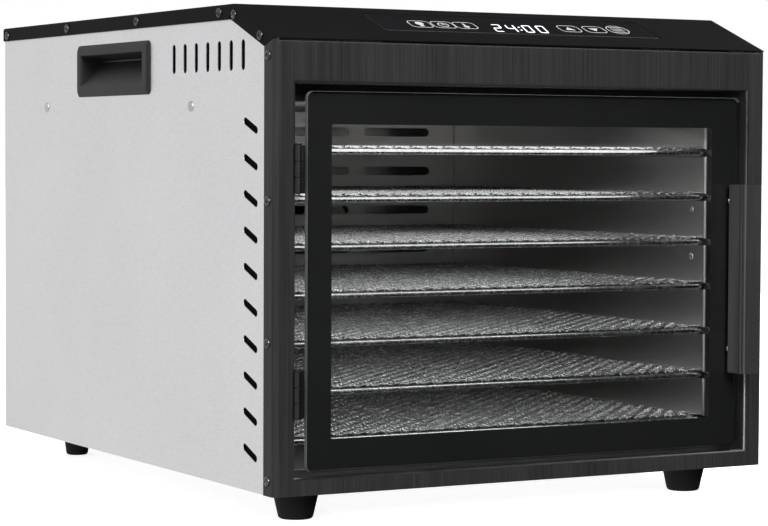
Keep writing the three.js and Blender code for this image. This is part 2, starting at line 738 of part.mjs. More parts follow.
function trayRim(index) {
  const level = trayLevel(index);
  const edge = tray.wire * 0.28;
  const rear = tray.front + tray.length;
  const outline = roundedRect(-tray.half + edge, tray.half - edge, tray.front + edge, rear - edge,
    tray.corner);
  outline.holes.push(roundedRect(-tray.half + tray.wire - edge, tray.half - tray.wire + edge,
    tray.front + tray.wire - edge, rear - tray.wire + edge, tray.corner - tray.wire + edge * 2));
  const ring = new THREE.ExtrudeGeometry(outline, {
    depth: tray.wire - edge * 2, curveSegments: 2, bevelEnabled: true,
    bevelThickness: edge, bevelSize: edge, bevelSegments: 1,
  });
  return ring.translate(0, 0, level - tray.wire / 2 + edge);
}

// The woven wire is a plain lattice here, one closed piece inside the rim.
function trayMesh(index) {
  const top = trayLevel(index) + tray.wire / 2;
  const low = top - tray.meshThickness;
  const reach = tray.half - tray.wire - gap;
  const near = tray.front + tray.wire + gap;
  const far = tray.front + tray.length - tray.wire - gap;
  const stepX = (reach * 2 - tray.meshBar) / tray.meshColumns;
  const stepY = (far - near - tray.meshBar) / tray.meshRows;
  const cells = [];
  for (let i = 0; i < tray.meshColumns; i += 1) {
    for (let j = 0; j < tray.meshRows; j += 1) {
      const x = -reach + tray.meshBar + i * stepX;
      const y = near + tray.meshBar + j * stepY;
      cells.push(block(x, x + stepX - tray.meshBar, y, y + stepY - tray.meshBar, low - 1, top + 1));
    }
  }
  return combine([levelPlate(roundedRect(-reach, reach, near, far, tray.corner - 1), low, top, 2)], cells);
}

// Assembly ----------------------------------------------------------------------------

place('top_cover', topCover(), blackPaint);
place('front_frame', frontFrame(), blackSteel);
place('left_side_panel', sidePanel(), brushedSteel);
place('right_side_panel', mirrorX(sidePanel()), brushedSteel);
place('rear_panel', rearPanel(), brushedSteel);
place('bottom_plate', bottomPlate(), brushedSteel);
place('left_grip_cup', gripCup(), blackPlastic);
place('right_grip_cup', mirrorX(gripCup()), blackPlastic);

for (const [end, size] of [['front', frontFoot], ['rear', rearFoot]]) {
  for (const [side, sign] of [['left', -1], ['right', 1]]) {
    place(`foot_${end}_${side}`, foot(size), blackRubber).position.set(sign * size.x, size.y, -footHeight);
  }
}

place('right_liner_wall', linerWall(), linerSteel);
place('left_liner_wall', mirrorX(linerWall()), linerSteel);
place('liner_ceiling', linerCeiling(), linerSteel);
place('liner_floor', linerFloor(), linerSteel);
place('air_baffle', airBaffle(), linerSteel);
place('rear_liner_wall', rearLinerWall(), linerSteel);

place('touch_panel', touchGlass(), clearGlass, slope);
place('display_module', displayModule(), whitePlastic, slope);
place('control_board', controlBoard(), circuitGreen, slope);

place('power_board', powerBoard(), circuitGreen);
place('power_inlet', powerInlet(), blackPlastic);
place('chamber_lamp', chamberLamp(), whitePlastic);
place('heater_element', heaterElement(), linerSteel);
place('heater_bracket_left', heaterBracket(-1), linerSteel);
place('heater_bracket_right', heaterBracket(1), linerSteel);
place('thermal_cutout', thermalCutout(), blackPlastic);
place('temperature_probe', temperatureProbe(), linerSteel);

place('fan_motor_stator', motorStator(), linerSteel);
place('motor_coil', motorCoil(), copper);
place('motor_bracket', motorBracket(), linerSteel);
place('motor_shaft', motorShaft(), linerSteel);
place('fan_impeller', fanImpeller(), linerSteel);

place('door_glass', doorGlass(), clearGlass);
for (const [i, name] of ['lower', 'upper'].entries()) {
  const level = hinge.levels[i];
  place(`frame_hinge_${name}`, frameHinge(level), blackPaint);
  place(`door_hinge_${name}`, doorHinge(level), blackPaint);
  place(`hinge_pin_${name}`, hingePin(level), wireSteel);
  place(`handle_spacer_${name}`, handleSpacer(spacer.levels[i]), wireSteel);
}
place('door_handle', doorHandle(), anodised);
place('door_strike_plate', doorStrikePlate(), wireSteel);
place('door_catch', doorCatch(), blackPlastic);

for (let i = 0; i < tray.count; i += 1) {
  place(`tray_rim_${i + 1}`, trayRim(i), wireSteel);
  place(`tray_mesh_${i + 1}`, trayMesh(i), wireSteel);
}

export default cabinet;
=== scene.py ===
# Food dehydrator: a steel cabinet with a glass door, seven wire trays and a rear fan.
# Metres, +Z up, the front faces -Y. Every place is worked out from the CAD nodes' boxes.
import math

import bmesh
import bpy
import numpy as np
from mathutils import Matrix, Vector


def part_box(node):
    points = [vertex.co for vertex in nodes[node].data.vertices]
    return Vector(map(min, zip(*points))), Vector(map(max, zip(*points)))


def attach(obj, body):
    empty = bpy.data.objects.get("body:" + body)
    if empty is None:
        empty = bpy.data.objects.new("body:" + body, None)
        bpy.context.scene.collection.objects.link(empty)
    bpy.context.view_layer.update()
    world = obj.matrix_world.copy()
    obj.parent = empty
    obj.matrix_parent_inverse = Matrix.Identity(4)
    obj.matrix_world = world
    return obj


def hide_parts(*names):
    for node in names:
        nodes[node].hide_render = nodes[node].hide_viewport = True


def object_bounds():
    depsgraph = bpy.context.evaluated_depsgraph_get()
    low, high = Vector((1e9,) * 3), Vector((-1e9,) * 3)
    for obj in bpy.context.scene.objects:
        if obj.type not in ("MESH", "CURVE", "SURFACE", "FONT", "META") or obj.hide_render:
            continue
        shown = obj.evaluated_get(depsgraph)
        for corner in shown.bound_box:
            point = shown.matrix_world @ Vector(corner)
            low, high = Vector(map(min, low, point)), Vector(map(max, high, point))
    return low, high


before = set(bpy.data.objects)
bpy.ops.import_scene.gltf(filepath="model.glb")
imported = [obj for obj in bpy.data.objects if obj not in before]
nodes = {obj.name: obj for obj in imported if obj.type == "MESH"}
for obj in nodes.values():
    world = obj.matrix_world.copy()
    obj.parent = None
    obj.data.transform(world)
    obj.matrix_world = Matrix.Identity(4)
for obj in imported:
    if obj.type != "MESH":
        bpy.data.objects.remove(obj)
cad_low, cad_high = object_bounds()
mm = 0.001

# ---------------------------------------------------------------------------------------
# Studio: a pale floor, a soft room of light and the camera.
# The room is bright above and to the left, and dim where the door's glass mirrors it. A low
# light behind shows the steel back.

scene = bpy.context.scene
scene.view_settings.view_transform = "Standard"

eye = Vector((cad_low.x - 0.6393, cad_low.y - 1.2613, 0.2128))
look_azimuth, look_down, look_roll = math.radians(29.05), math.radians(2.51), math.radians(0.26)
forward = Vector((
    math.sin(look_azimuth) * math.cos(look_down),
    math.cos(look_azimuth) * math.cos(look_down),
    -math.sin(look_down),
))
level_right = Vector((math.cos(look_azimuth), -math.sin(look_azimuth), 0))
level_up = level_right.cross(forward)
right = math.cos(look_roll) * level_right + math.sin(look_roll) * level_up
up = right.cross(forward)
camera_data = bpy.data.cameras.new("camera")
camera_data.lens = 120.2
camera_data.sensor_width = 36
camera = bpy.data.objects.new("camera", camera_data)
camera.matrix_world = Matrix((
    (right.x, up.x, -forward.x, eye.x),
    (right.y, up.y, -forward.y, eye.y),
    (right.z, up.z, -forward.z, eye.z),
    (0, 0, 0, 1),
))
scene.collection.objects.link(camera)
scene.camera = camera


def new_nodes(material):
    """Clears a material's nodes and gives its tree, a Principled shader and the output."""
    material.use_nodes = True
    tree = material.node_tree
    tree.nodes.clear()
    shader = tree.nodes.new("ShaderNodeBsdfPrincipled")
    output = tree.nodes.new("ShaderNodeOutputMaterial")
    tree.links.new(shader.outputs[0], output.inputs[0])
    return tree, shader, output


world = bpy.data.worlds.new("studio")
scene.world = world
world.use_nodes = True
sky = world.node_tree
sky.nodes.clear()
sky_output = sky.nodes.new("ShaderNodeOutputWorld")
seen = sky.nodes.new("ShaderNodeBackground")
seen.inputs["Color"].default_value = (1, 1, 1, 1)
seen.inputs["Strength"].default_value = 1.0
lit = sky.nodes.new("ShaderNodeBackground")
direction = sky.nodes.new("ShaderNodeTexCoord")
split = sky.nodes.new("ShaderNodeSeparateXYZ")
sky.links.new(direction.outputs["Generated"], split.inputs[0])
toward_left = sky.nodes.new("ShaderNodeMapRange")
toward_left.interpolation_type = "SMOOTHERSTEP"
toward_left.inputs["From Min"].default_value = 0.35
toward_left.inputs["From Max"].default_value = -0.45
toward_left.inputs["To Min"].default_value = 0.025
toward_left.inputs["To Max"].default_value = 1.05
sky.links.new(split.outputs["X"], toward_left.inputs["Value"])
overhead = sky.nodes.new("ShaderNodeMapRange")
overhead.interpolation_type = "SMOOTHERSTEP"
overhead.inputs["From Min"].default_value = 0.5
overhead.inputs["From Max"].default_value = 0.95
overhead.inputs["To Min"].default_value = 0.0
overhead.inputs["To Max"].default_value = 0.75
sky.links.new(split.outputs["Z"], overhead.inputs["Value"])
brighter = sky.nodes.new("ShaderNodeMath")
brighter.operation = "MAXIMUM"
sky.links.new(toward_left.outputs[0], brighter.inputs[0])
sky.links.new(overhead.outputs[0], brighter.inputs[1])
sky.links.new(brighter.outputs[0], lit.inputs["Strength"])
rays = sky.nodes.new("ShaderNodeLightPath")
choose = sky.nodes.new("ShaderNodeMixShader")
sky.links.new(rays.outputs["Is Camera Ray"], choose.inputs[0])
sky.links.new(lit.outputs[0], choose.inputs[1])
sky.links.new(seen.outputs[0], choose.inputs[2])
sky.links.new(choose.outputs[0], sky_output.inputs[0])

floor_mesh = bpy.data.meshes.new("floor")
floor_half = 12.0
floor_mesh.from_pydata(
    [(-floor_half, -floor_half, 0), (floor_half, -floor_half, 0),
     (floor_half, floor_half, 0), (-floor_half, floor_half, 0)], [], [(0, 1, 2, 3)])
floor = bpy.data.objects.new("floor", floor_mesh)
floor_material = bpy.data.materials.new("pale_floor")
floor_tree, floor_shader, _ = new_nodes(floor_material)
floor_shader.inputs["Base Color"].default_value = (0.93, 0.93, 0.93, 1)
floor_shader.inputs["Roughness"].default_value = 0.9
floor_shader.inputs["Emission Color"].default_value = (1, 1, 1, 1)
floor_rays = floor_tree.nodes.new("ShaderNodeLightPath")
floor_lift = floor_tree.nodes.new("ShaderNodeMath")
floor_lift.operation = "MULTIPLY"
floor_lift.inputs[1].default_value = 0.75
floor_tree.links.new(floor_rays.outputs["Is Camera Ray"], floor_lift.inputs[0])
floor_tree.links.new(floor_lift.outputs[0], floor_shader.inputs["Emission Strength"])
floor_mesh.materials.append(floor_material)
floor.visible_glossy = False
floor.visible_diffuse = False
scene.collection.objects.link(floor)


def area_light(name, place, target, size, watts):
    """A square soft light that faces its target."""
    data = bpy.data.lights.new(name, "AREA")
    data.size = size
    data.energy = watts
    light = bpy.data.objects.new(name, data)
    light.location = place
    light.rotation_euler = (Vector(target) - Vector(place)).to_track_quat("-Z", "Y").to_euler()
    scene.collection.objects.link(light)
    return light


area_light("key_light", (-1.2, -1.6, 2.2), (0, 0, 0.1), 1.6, 26)
area_light("front_fill", (-0.3, -2.4, 1.2), (0, -0.1, 0.15), 1.0, 46)
area_light("right_overhead", (0.95, -0.25, 1.75), (0, -0.2, 0.03), 0.7, 16)
area_light("rear_fill", (1.1, 1.9, 0.25), (0, 0.2, 0.15), 1.6, 14)

# ---------------------------------------------------------------------------------------
# Finishes that several pieces share: three shader groups and the maker of a metal or plastic.
# brushed_grain gives fine lines, blotches the slow change of sheen over a surface, and
# edge_wear the paler rubbed edges of a painted or anodised piece.


def noise_group(name, stretch_inputs, octaves):
    """A group that turns object coordinates, stretched per axis, into one noise value."""
    group = bpy.data.node_groups.new(name, "ShaderNodeTree")
    face = group.interface
    for label in stretch_inputs:
        face.new_socket(label, in_out="INPUT", socket_type="NodeSocketFloat")
    face.new_socket("Value", in_out="OUTPUT", socket_type="NodeSocketFloat")
    source = group.nodes.new("NodeGroupInput")
    result = group.nodes.new("NodeGroupOutput")
    place = group.nodes.new("ShaderNodeTexCoord")
    stretch = group.nodes.new("ShaderNodeCombineXYZ")
    scale = group.nodes.new("ShaderNodeVectorMath")
    scale.operation = "MULTIPLY"
    noise = group.nodes.new("ShaderNodeTexNoise")
    noise.inputs["Scale"].default_value = 1.0
    noise.inputs["Detail"].default_value = octaves
    noise.inputs["Roughness"].default_value = 0.6
    for position, label in enumerate(stretch_inputs):
        group.links.new(source.outputs[label], stretch.inputs[position])
    group.links.new(place.outputs["Object"], scale.inputs[0])
    group.links.new(stretch.outputs[0], scale.inputs[1])
    group.links.new(scale.outputs[0], noise.inputs["Vector"])
    group.links.new(noise.outputs[0], result.inputs["Value"])
    return group


brushed_grain = noise_group("brushed_grain", ("Across X", "Across Y", "Across Z"), 3.0)
blotches = noise_group("blotches", ("Spread X", "Spread Y", "Spread Z"), 4.0)


def edge_wear_group():
    """A group whose mask is 1 on outward edges and fades over the flats."""
    group = bpy.data.node_groups.new("edge_wear", "ShaderNodeTree")
    face = group.interface
    face.new_socket("Strength", in_out="INPUT", socket_type="NodeSocketFloat")
    face.new_socket("Mask", in_out="OUTPUT", socket_type="NodeSocketFloat")
    source = group.nodes.new("NodeGroupInput")
    result = group.nodes.new("NodeGroupOutput")
    geometry = group.nodes.new("ShaderNodeNewGeometry")
    ramp = group.nodes.new("ShaderNodeMapRange")
    ramp.inputs["From Min"].default_value = 0.53
    ramp.inputs["From Max"].default_value = 0.62
    times = group.nodes.new("ShaderNodeMath")
    times.operation = "MULTIPLY"
    group.links.new(geometry.outputs["Pointiness"], ramp.inputs["Value"])
    group.links.new(ramp.outputs[0], times.inputs[0])
    group.links.new(source.outputs["Strength"], times.inputs[1])
    group.links.new(times.outputs[0], result.inputs["Mask"])
    return group


edge_wear = edge_wear_group()


def finish(name, dark, light, metallic, roughness, grain=(0, 0, 0), relief=0.0,
           wear=0.0, blotch=(14, 14, 14), coat=0.0, specular=0.5):
    """A finish whose colour runs from dark to light with its grain, and whose roughness runs
    over a pair of values with slow blotches; relief is the bump's strength."""
    material = bpy.data.materials.new(name)
    tree, shader, _ = new_nodes(material)
    lines = tree.nodes.new("ShaderNodeGroup")
    lines.node_tree = brushed_grain
    for position, label in enumerate(("Across X", "Across Y", "Across Z")):
        lines.inputs[label].default_value = grain[position]
    clouds = tree.nodes.new("ShaderNodeGroup")
    clouds.node_tree = blotches
    for position, label in enumerate(("Spread X", "Spread Y", "Spread Z")):
        clouds.inputs[label].default_value = blotch[position]
    both = tree.nodes.new("ShaderNodeMix")
    both.data_type = "FLOAT"
    both.inputs["Factor"].default_value = 0.4
    tree.links.new(lines.outputs["Value"], both.inputs["A"])
    tree.links.new(clouds.outputs["Value"], both.inputs["B"])
    contrast = tree.nodes.new("ShaderNodeMapRange")
    contrast.inputs["From Min"].default_value = 0.36
    contrast.inputs["From Max"].default_value = 0.64
    tree.links.new(both.outputs["Result"], contrast.inputs["Value"])
    colour = tree.nodes.new("ShaderNodeMix")
    colour.data_type = "RGBA"
    colour.inputs["A"].default_value = (*dark, 1)
    colour.inputs["B"].default_value = (*light, 1)
    tree.links.new(contrast.outputs[0], colour.inputs["Factor"])
    shown = colour.outputs["Result"]
    if wear:
        worn = tree.nodes.new("ShaderNodeGroup")
        worn.node_tree = edge_wear
        worn.inputs["Strength"].default_value = wear
        bright = tree.nodes.new("ShaderNodeMix")
        bright.data_type = "RGBA"
        bright.inputs["B"].default_value = (*[min(1.0, c * 2.2 + 0.06) for c in light], 1)
        tree.links.new(worn.outputs["Mask"], bright.inputs["Factor"])
        tree.links.new(shown, bright.inputs["A"])
        shown = bright.outputs["Result"]
    tree.links.new(shown, shader.inputs["Base Color"])
    shader.inputs["Metallic"].default_value = metallic
    spread = tree.nodes.new("ShaderNodeMapRange")
    spread.inputs["From Min"].default_value = 0.35
    spread.inputs["From Max"].default_value = 0.65
    spread.inputs["To Min"].default_value = roughness[0]
    spread.inputs["To Max"].default_value = roughness[1]
    tree.links.new(both.outputs["Result"], spread.inputs["Value"])
    tree.links.new(spread.outputs[0], shader.inputs["Roughness"])
    shader.inputs["Specular IOR Level"].default_value = specular
    shader.inputs["Coat Weight"].default_value = coat
    if relief:
        bump = tree.nodes.new("ShaderNodeBump")
        bump.inputs["Strength"].default_value = relief
        bump.inputs["Distance"].default_value = 0.0002
        tree.links.new(lines.outputs["Value"], bump.inputs["Height"])
        tree.links.new(bump.outputs[0], shader.inputs["Normal"])
    return material


brushed_steel = finish("brushed_steel", (0.74, 0.74, 0.755), (0.84, 0.84, 0.85), 1.0, (0.34, 0.44),
                       grain=(1600, 260, 900), relief=0.06, blotch=(7, 7, 7))
black_steel = finish("black_brushed_steel", (0.020, 0.020, 0.0205), (0.044, 0.044, 0.045), 0.2,
                     (0.28, 0.38), grain=(2200, 1200, 12), relief=0.10, blotch=(30, 30, 3),
                     specular=0.06)
# A paler, fully metallic copy of the black steel, used only as a painted highlight on the opening's
# folds.
fold_highlight_steel = finish("black_steel_fold_highlight", (0.08, 0.08, 0.082), (0.16, 0.16, 0.164), 1.0, (0.30, 0.42),
                    grain=(1200, 1200, 1200), relief=0.05, blotch=(30, 30, 30))
black_paint = finish("satin_black_paint", (0.004, 0.004, 0.0045), (0.007, 0.007, 0.0075), 0.0,
                     (0.42, 0.52), grain=(2600, 2600, 2600), relief=0.12, blotch=(8, 8, 8),
                     specular=0.03)
liner_steel = finish("liner_steel", (0.50, 0.485, 0.48), (0.60, 0.585, 0.58), 1.0, (0.30, 0.42),
                     grain=(1500, 300, 1500), relief=0.015, blotch=(12, 12, 12))
wire_steel = finish("bright_wire", (0.62, 0.62, 0.62), (0.84, 0.84, 0.84), 1.0, (0.20, 0.32),
                    grain=(420, 420, 420), relief=0.05, blotch=(60, 60, 60))
black_plastic = finish("moulded_black", (0.008, 0.008, 0.009), (0.014, 0.014, 0.015), 0.0,
                       (0.42, 0.56), grain=(2200, 2200, 2200), relief=0.2, specular=0.3)
black_rubber = finish("foot_rubber", (0.004, 0.004, 0.0045), (0.009, 0.009, 0.0095), 0.0,
                      (0.62, 0.85), grain=(1500, 1500, 1500), relief=0.3, specular=0.2)
black_anodised = finish("black_anodised", (0.022, 0.022, 0.023), (0.048, 0.048, 0.050), 0.55,
                        (0.36, 0.48), grain=(2200, 2200, 12), relief=0.10, wear=0.6, specular=0.4)
screw_steel = finish("screw_steel", (0.035, 0.035, 0.036), (0.15, 0.15, 0.155), 1.0, (0.18, 0.30),
                     grain=(800, 800, 800), relief=0.05)
rivet_steel = finish("rivet_steel", (0.42, 0.42, 0.43), (0.66, 0.66, 0.67), 1.0, (0.16, 0.26),
                     grain=(700, 700, 700), relief=0.05)
white_plastic = finish("white_plastic", (0.70, 0.68, 0.62), (0.80, 0.78, 0.72), 0.0, (0.30, 0.42),
                       grain=(900, 900, 900), relief=0.05)
board_green = finish("solder_mask", (0.010, 0.065, 0.030), (0.020, 0.120, 0.055), 0.0, (0.30, 0.45),
                     grain=(500, 60, 500), relief=0.10)
copper_wire = finish("copper_winding", (0.30, 0.10, 0.035), (0.62, 0.26, 0.10), 1.0, (0.25, 0.40),
                     grain=(60, 1600, 1600), relief=0.5)

# ---------------------------------------------------------------------------------------
# Making pieces: grids of points become quads, outlines become cut plates, profiles turn.


def grid_quads(rows, columns, wrap_rows=False, wrap_columns=False):
    """Corner numbers of every quad between neighbouring points of a rows by columns grid."""
    index = np.arange(rows * columns).reshape(rows, columns)
    if wrap_rows:
        index = np.vstack([index, index[:1]])
    if wrap_columns:
        index = np.hstack([index, index[:, :1]])
    corners = (index[:-1, :-1], index[:-1, 1:], index[1:, 1:], index[1:, :-1])
    return np.stack(corners, axis=-1)


def closed_normals(mesh, merge=1e-6):
    """Merges a mesh's doubles and turns its faces outwards."""
    work = bmesh.new()
    work.from_mesh(mesh)
    bmesh.ops.remove_doubles(work, verts=work.verts, dist=merge)
    bmesh.ops.recalc_face_normals(work, faces=work.faces)
    work.to_mesh(mesh)
    work.free()


def bake_modifiers(piece):
    """Replaces a piece's mesh by what its modifiers make of it."""
    shaped = piece.evaluated_get(bpy.context.evaluated_depsgraph_get())
    piece.data = bpy.data.meshes.new_from_object(shaped)
    piece.modifiers.clear()


def add_piece(name, mesh, material, body, replaced=(), crease=35, modifiers=()):
    """Puts a mesh in the scene as a finished piece: modifiers applied, smooth below the crease
    angle with its flats kept flat, riding on its body and standing for the nodes it replaces."""
    piece = bpy.data.objects.new(name, mesh)
    scene.collection.objects.link(piece)
    for kind, values in modifiers:
        modifier = piece.modifiers.new(kind.lower(), kind)
        for key, value in values.items():
            setattr(modifier, key, value)
    if modifiers:
        bake_modifiers(piece)
    piece.data.shade_smooth()
    piece.data.set_sharp_from_angle(angle=math.radians(crease))
    if modifiers:
        flats = piece.modifiers.new("flats", "WEIGHTED_NORMAL")
        flats.keep_sharp = True
        flats.weight = 100
        bake_modifiers(piece)
    piece.data.name = name
    piece.data.materials.clear()
    piece.data.materials.append(material)
    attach(piece, body)
    if replaced:
        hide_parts(*replaced)
    return piece


def joined_mesh(name, points, faces):
    """One mesh from a list of point arrays and their own face arrays."""
    offsets = np.cumsum([0] + [len(p) for p in points[:-1]])
    mesh = bpy.data.meshes.new(name)
    corners = [tuple(f) for face, start in zip(faces, offsets) for f in (np.asarray(face) + start)]
    mesh.from_pydata(np.concatenate(points).tolist(), [], corners)
    return mesh


def eased(width, segments=2, angle=30):
    """A bevel that eases sharp edges by a width."""
    return ("BEVEL", {"width": width, "segments": segments, "limit_method": "ANGLE",
                      "angle_limit": math.radians(angle), "harden_normals": False})


def rounded_loop(x0, x1, y0, y1, radius, steps=6):
    """Points round a rectangle with quarter circle corners, anticlockwise."""
    turn = np.linspace(0, np.pi / 2, steps + 1)
    arc = np.stack([np.cos(turn), np.sin(turn)], axis=1) * radius
    quarter = np.array([[0, -1], [1, 0]])
    centres = ((x1 - radius, y1 - radius), (x0 + radius, y1 - radius),
               (x0 + radius, y0 + radius), (x1 - radius, y0 + radius))
    loops = []
    for centre in centres:
        loops.append(arc + centre)
        arc = arc @ quarter.T
    return np.concatenate(loops)


def slot_loop(x, y, length, width, angle=0.0, steps=8):
    """Points round a slot with half circle ends, turned by an angle in degrees."""
    turn = np.linspace(-np.pi / 2, np.pi / 2, steps + 1)
    end = np.stack([np.cos(turn), np.sin(turn)], axis=1) * width / 2
    reach = np.array([length / 2 - width / 2, 0])
    outline = np.concatenate([end + reach, -end - reach])
    c, s = math.cos(math.radians(angle)), math.sin(math.radians(angle))
    return outline @ np.array([[c, s], [-s, c]]) + (x, y)


def circle_loop(x, y, radius, steps=24):
    """Points round a circle."""
    turn = np.linspace(0, 2 * np.pi, steps, endpoint=False)
    return np.stack([x + radius * np.cos(turn), y + radius * np.sin(turn)], axis=1)


def cut_plate_mesh(name, loops, thickness, axes):
    """A flat plate from an outline and its holes, drawn in millimetres in two axes, its
    thickness running along the third. axes is a 4 by 4 that carries the drawing to its place."""
    curve = bpy.data.curves.new(name, "CURVE")
    curve.dimensions = "2D"
    curve.fill_mode = "BOTH"
    curve.extrude = thickness / 2 * mm
    for loop in loops:
        spline = curve.splines.new("POLY")
        spline.points.add(len(loop) - 1)
        flat = np.zeros((len(loop), 4))
        flat[:, :2] = loop * mm
        flat[:, 3] = 1
        spline.points.foreach_set("co", flat.ravel())
        spline.use_cyclic_u = True
    drawing = bpy.data.objects.new(name, curve)
    scene.collection.objects.link(drawing)
    shaped = drawing.evaluated_get(bpy.context.evaluated_depsgraph_get())
    mesh = bpy.data.meshes.new_from_object(shaped)
    bpy.data.objects.remove(drawing)
    bpy.data.curves.remove(curve)
    mesh.transform(Matrix.Translation((0, 0, thickness / 2 * mm)))
    mesh.transform(axes)
    closed_normals(mesh)
    return mesh


def upright(y):
    """Carries a drawing in X and Z to the plane at y, its thickness running to +Y."""
    return Matrix(((1, 0, 0, 0), (0, 0, 1, y), (0, 1, 0, 0), (0, 0, 0, 1)))


def sideways(x):
    """Carries a drawing in Y and Z to the plane at x, its thickness running to +X."""
    return Matrix(((0, 0, 1, x), (1, 0, 0, 0), (0, 1, 0, 0), (0, 0, 0, 1)))


def turned_mesh(name, profile, segments=48):
    """A profile of radius and height, in millimetres, turned round the Z axis."""
    profile = np.asarray(profile, float) * mm
    turn = np.linspace(0, 2 * np.pi, segments, endpoint=False)
    radius, height = profile[:, :1], profile[:, 1:]
    points = np.stack([radius * np.cos(turn), radius * np.sin(turn),
                       np.repeat(height, segments, axis=1)], axis=-1)
    quads = grid_quads(len(profile), segments, wrap_columns=True).reshape(-1, 4)
    mesh = joined_mesh(name, [points.reshape(-1, 3)], [quads])
    closed_normals(mesh)
    return mesh


def eased_copy(node, width, material, body, name=None, segments=2, crease=35):
    """A CAD piece with its triangles merged into flat faces and its edges eased."""
    mesh = nodes[node].data.copy()
    work = bmesh.new()
    work.from_mesh(mesh)
    bmesh.ops.remove_doubles(work, verts=work.verts, dist=2e-6)
    bmesh.ops.dissolve_limit(work, angle_limit=math.radians(1), verts=work.verts, edges=work.edges)
    work.to_mesh(mesh)
    work.free()
    return add_piece(name or f"{node}_finished", mesh, material, body, (node,), crease,
                     [eased(width, segments)])


def arc(centre, radius, start, stop, steps=6):
    """Points on an arc from one angle to another, in degrees."""
    turn = np.radians(np.linspace(start, stop, steps))
    return np.stack([centre[0] + radius * np.cos(turn), centre[1] + radius * np.sin(turn)], axis=1)


# ---------------------------------------------------------------------------------------
# Front frame: one black brushed sheet, folded back at both sides and round the door opening.
# The sides fold on a 3.5 mm radius, the opening's edges on 2.2 mm and the top edge on 1.4 mm.

frame_low, frame_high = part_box("front_frame")
front = frame_low.y / mm
base = frame_low.z / mm
half = frame_high.x / mm
glass_low, glass_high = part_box("door_glass")
opening_half, opening_low, opening_high = 156.2, base + 10.6, base + 232.4
side_fold, opening_fold, top_fold = 3.5, 2.2, 1.4
flange_depth = 13.0
jamb_depth = (frame_high.y - frame_low.y) / mm
face_top = base + 256.3
lip_bottom = base + 223.0


def front_face():
    """A U section carried up in Z; the quads over the opening are left out."""
    left = np.concatenate([[(-half, front + flange_depth)],
                           arc((-half + side_fold, front + side_fold), side_fold, 180, 270, 9)])
    inner = opening_half + opening_fold
    section = np.concatenate([left, [(-inner, front)], [(inner, front)], left[::-1] * (-1, 1)])
    fold = np.radians(np.linspace(0, 90, 5))
    levels = np.concatenate([[base, opening_low - opening_fold, opening_high + opening_fold],
                             face_top - top_fold * (1 - np.sin(fold))])
    points = np.empty((len(levels), len(section), 3))
    points[..., :2] = section
    points[..., 2] = levels[:, None]
    flange = np.abs(section[:, 0]) > half - side_fold + 0.01
    points[3:, :, 1] += np.where(flange, 0, top_fold * (1 - np.cos(fold))[:, None])
    mitre = (section[:, 1] - front) * (4.8 / flange_depth)
    points[-1, :, 2] += np.where(flange, 1.2 - mitre, 0)
    points[3:-1, :, 2] += np.where(flange, np.minimum(0, 1.2 - mitre - 0.1), 0)
    quads = grid_quads(len(levels), len(section))
    keep = np.ones(quads.shape[:2], bool)
    keep[1, len(left)] = False
    return points.reshape(-1, 3) * mm, quads[keep]


def opening_return():
    """Rectangles that shrink round the fold and then run back as the jamb."""
    turn = np.radians(np.linspace(0, 90, 8))
    inset = opening_fold * np.sin(turn)
    depth = opening_fold * (1 - np.cos(turn))
    inset = np.append(inset, opening_fold)
    depth = np.append(depth, jamb_depth)
    reach = opening_half + opening_fold - inset
    low = opening_low - opening_fold + inset
    high = opening_high + opening_fold - inset
    y = front + depth
    corners = [(-reach, y, low), (reach, y, low), (reach, y, high), (-reach, y, high)]
    points = np.stack([np.stack(corner, axis=-1) for corner in corners], axis=1)
    quads = grid_quads(len(depth), 4, wrap_columns=True)
    return points.reshape(-1, 3) * mm, quads.reshape(-1, 4)


face_points, face_quads = front_face()
jamb_points, jamb_quads = opening_return()
frame_mesh = joined_mesh("front_frame", [face_points, jamb_points], [face_quads, jamb_quads])
closed_normals(frame_mesh)
thicken = ("SOLIDIFY", {"thickness": 0.8 * mm, "offset": -1.0, "use_even_offset": True})
frame_piece = add_piece("front_frame_folded", frame_mesh, black_steel, "root",
                        ("front_frame",), 50, [thicken])
# The opening's right and bottom folds, which face left and up towards the light, get the paler steel as
# a painted highlight; the left and top folds stay black.
frame_piece.data.materials.append(fold_highlight_steel)
for face in frame_piece.data.polygons:
    x, y, z = face.center / mm
    in_fold = y < front + opening_fold and 0.2 < -face.normal.y < 0.985
    right_fold = abs(x - opening_half) < opening_fold and opening_low < z < opening_high
    bottom_fold = abs(x) < opening_half and abs(z - opening_low) < opening_fold
    face.material_index = int(in_fold and (right_fold or bottom_fold))
lip_loop = np.array([(-opening_half, lip_bottom), (opening_half, lip_bottom),
                     (opening_half, opening_high), (-opening_half, opening_high)])
lip_mesh = cut_plate_mesh("lip", [lip_loop], 0.8, upright((front + jamb_depth - 0.8) * mm))
add_piece("front_frame_lip", lip_mesh, black_steel, "root", crease=20,
          modifiers=[eased(0.2 * mm)])

# ---------------------------------------------------------------------------------------
# Top cover: a black painted sheet, flat at the back and sloping down to the front. Its side
# flanges lap over the steel sides and are screwed to them; a notch parts them at the bend.

_, cover_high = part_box("top_cover")
top = cover_high.z / mm
rear = cover_high.y / mm
crest = front + 55.0
front_height = base + 257.5
slope = math.atan2(top - front_height, crest - front)
flange_height, flange_fold, crest_fold = 9.0, 1.6, 3.0
panel_low, panel_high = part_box("touch_panel")
panel_left, panel_right = panel_low.x / mm, panel_high.x / mm
panel_near, panel_far = 19.0, 49.0


